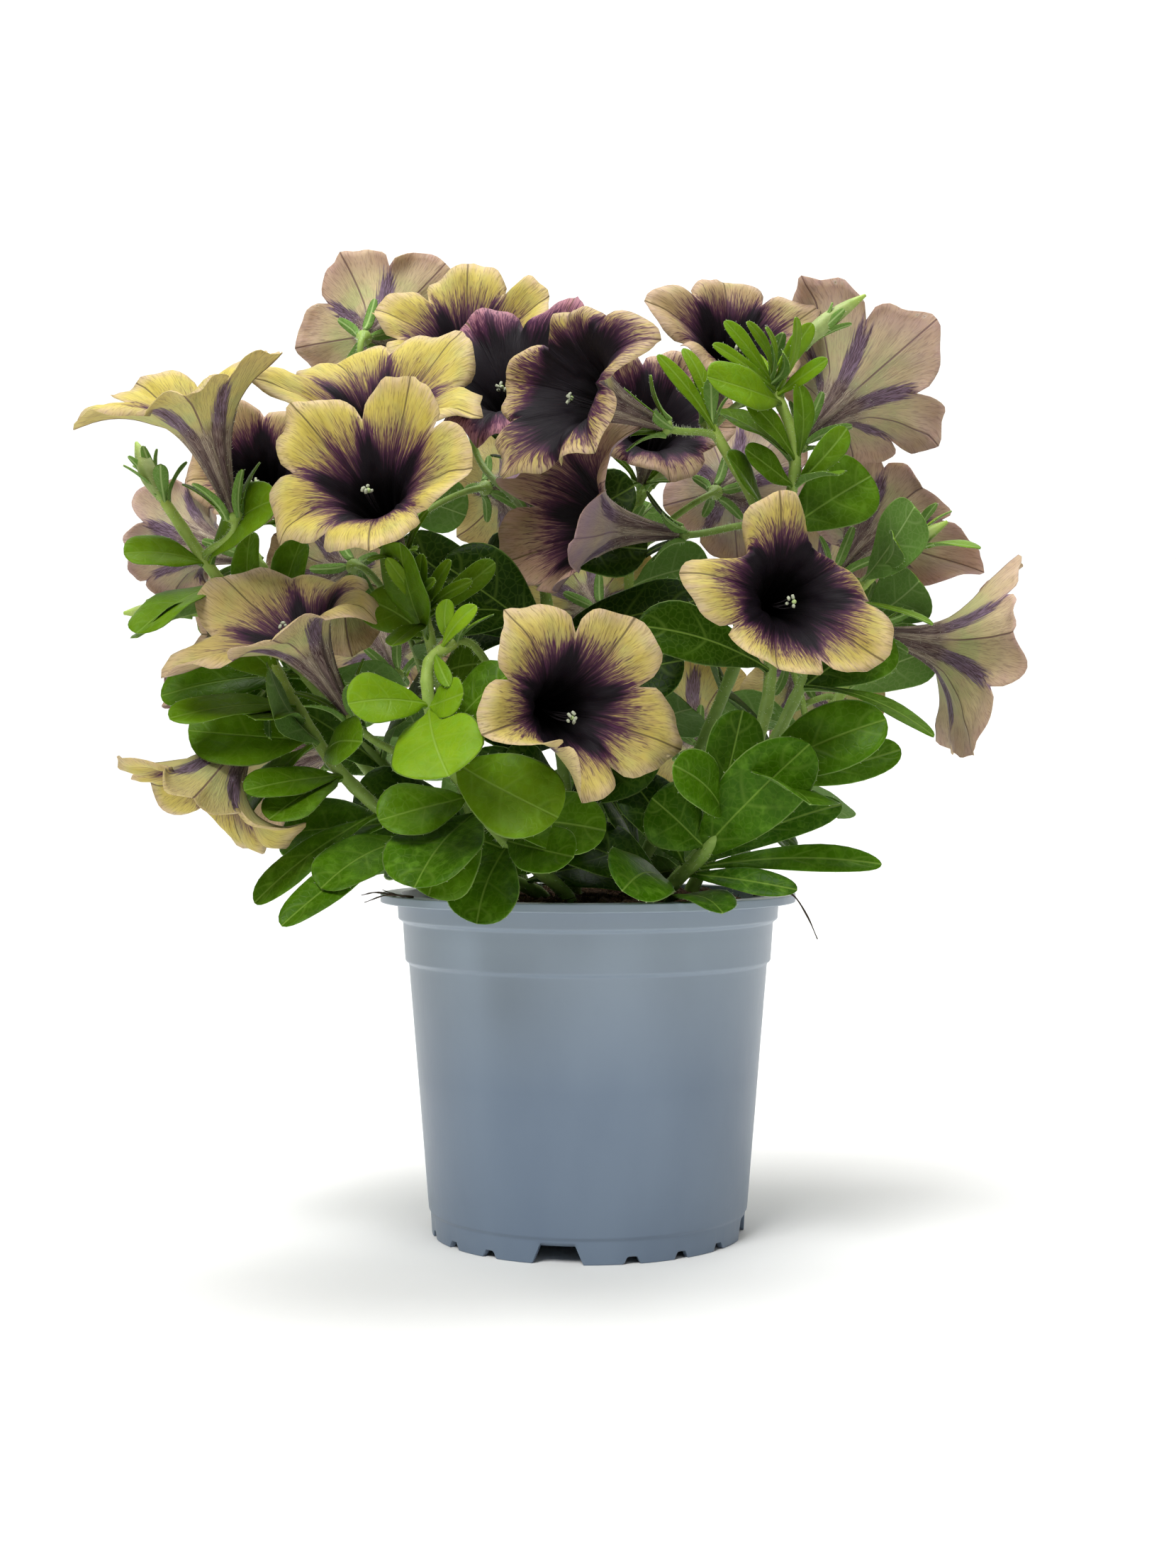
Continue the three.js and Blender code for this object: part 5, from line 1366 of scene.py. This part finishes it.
def studio():
    """A sheet of white paper that curves up behind, soft lights, and the camera."""
    x, run = np.linspace(-2500, 2500, 3), np.linspace(0, 1, 24)
    bend = np.clip((run - 0.4) / 0.2, 0, 1) * np.pi / 2
    y = np.where(run < 0.4, lerp(-2500, 900, run / 0.4), 900 + 500 * np.sin(bend))
    z = np.where(run > 0.6, lerp(500, 2600, (run - 0.6) / 0.4), 500 * (1 - np.cos(bend)))
    grid = np.stack(np.broadcast_arrays(x[None], y[:, None], z[:, None]), -1)
    index = np.arange(3 * len(run)).reshape(-1, 3)
    quads = np.stack([index[:-1, :-1], index[:-1, 1:], index[1:, 1:], index[1:, :-1]], -1)
    paper = mesh_object("studio_paper", Skin(grid, quads), PAPER)

    # Lights: name, place, what it is aimed at, side of the square in millimetres, power in watts
    plant, backdrop = (0, 0, 150), (0, 1400, 900)
    for name, place, aim, size, power in (
        ("window_light", (-450, -900, 1150), plant, 600, 17),
        ("fill_light", (900, -900, 500), plant, 900, 2),
        ("top_light", (0, 100, 1300), plant, 900, 8),
        ("back_light", (500, 1000, 700), plant, 800, 1.5),
        ("backdrop_light", (0, 300, 1900), backdrop, 1500, 24),
    ):
        light = bpy.data.lights.new(name, "AREA")
        light.size, light.energy = size * MM, power
        lamp = bpy.data.objects.new(name, light)
        bpy.context.scene.collection.objects.link(lamp)
        lamp.location = np.array(place) * MM
        away = unit(np.subtract(place, aim))
        side = unit(np.cross(UP, away))
        turn = np.stack([side, np.cross(away, side), away], 1)
        lamp.rotation_euler = Matrix(turn.tolist()).to_euler()
    world = bpy.data.worlds.new("studio")
    bpy.context.scene.world = world
    world.use_nodes = True
    sky = world.node_tree.nodes["Background"].inputs
    sky["Color"].default_value = (1, 1, 1, 1)
    sky["Strength"].default_value = 0.08

    lens = bpy.data.cameras.new("camera")
    lens.lens, lens.sensor_width = CAMERA_LENS, SENSOR
    camera = bpy.data.objects.new("camera", lens)
    bpy.context.scene.collection.objects.link(camera)
    camera.location = np.array(CAMERA_PLACE) * MM
    camera.rotation_euler = (math.pi / 2, 0, 0)
    bpy.context.scene.camera = camera
    bpy.context.scene.view_settings.view_transform = "Standard"


studio()
piece("pot_shell", joined([pot_wall(), pot_floor()]), PLASTIC, "pot_plastic", "pot")
piece("peat_ball", peat_ball(), PEAT, "peat", "soil")
piece("peat_crumbs", joined([peat_crumbs(CRUMBS), peat_fibres(FIBRES)]), PEAT, "peat")
piece("dry_litter", litter(), TWIG, "peat")
for number, (place, stem) in enumerate(STEMS.items()):
    leafy_stem(place, number, **stem)
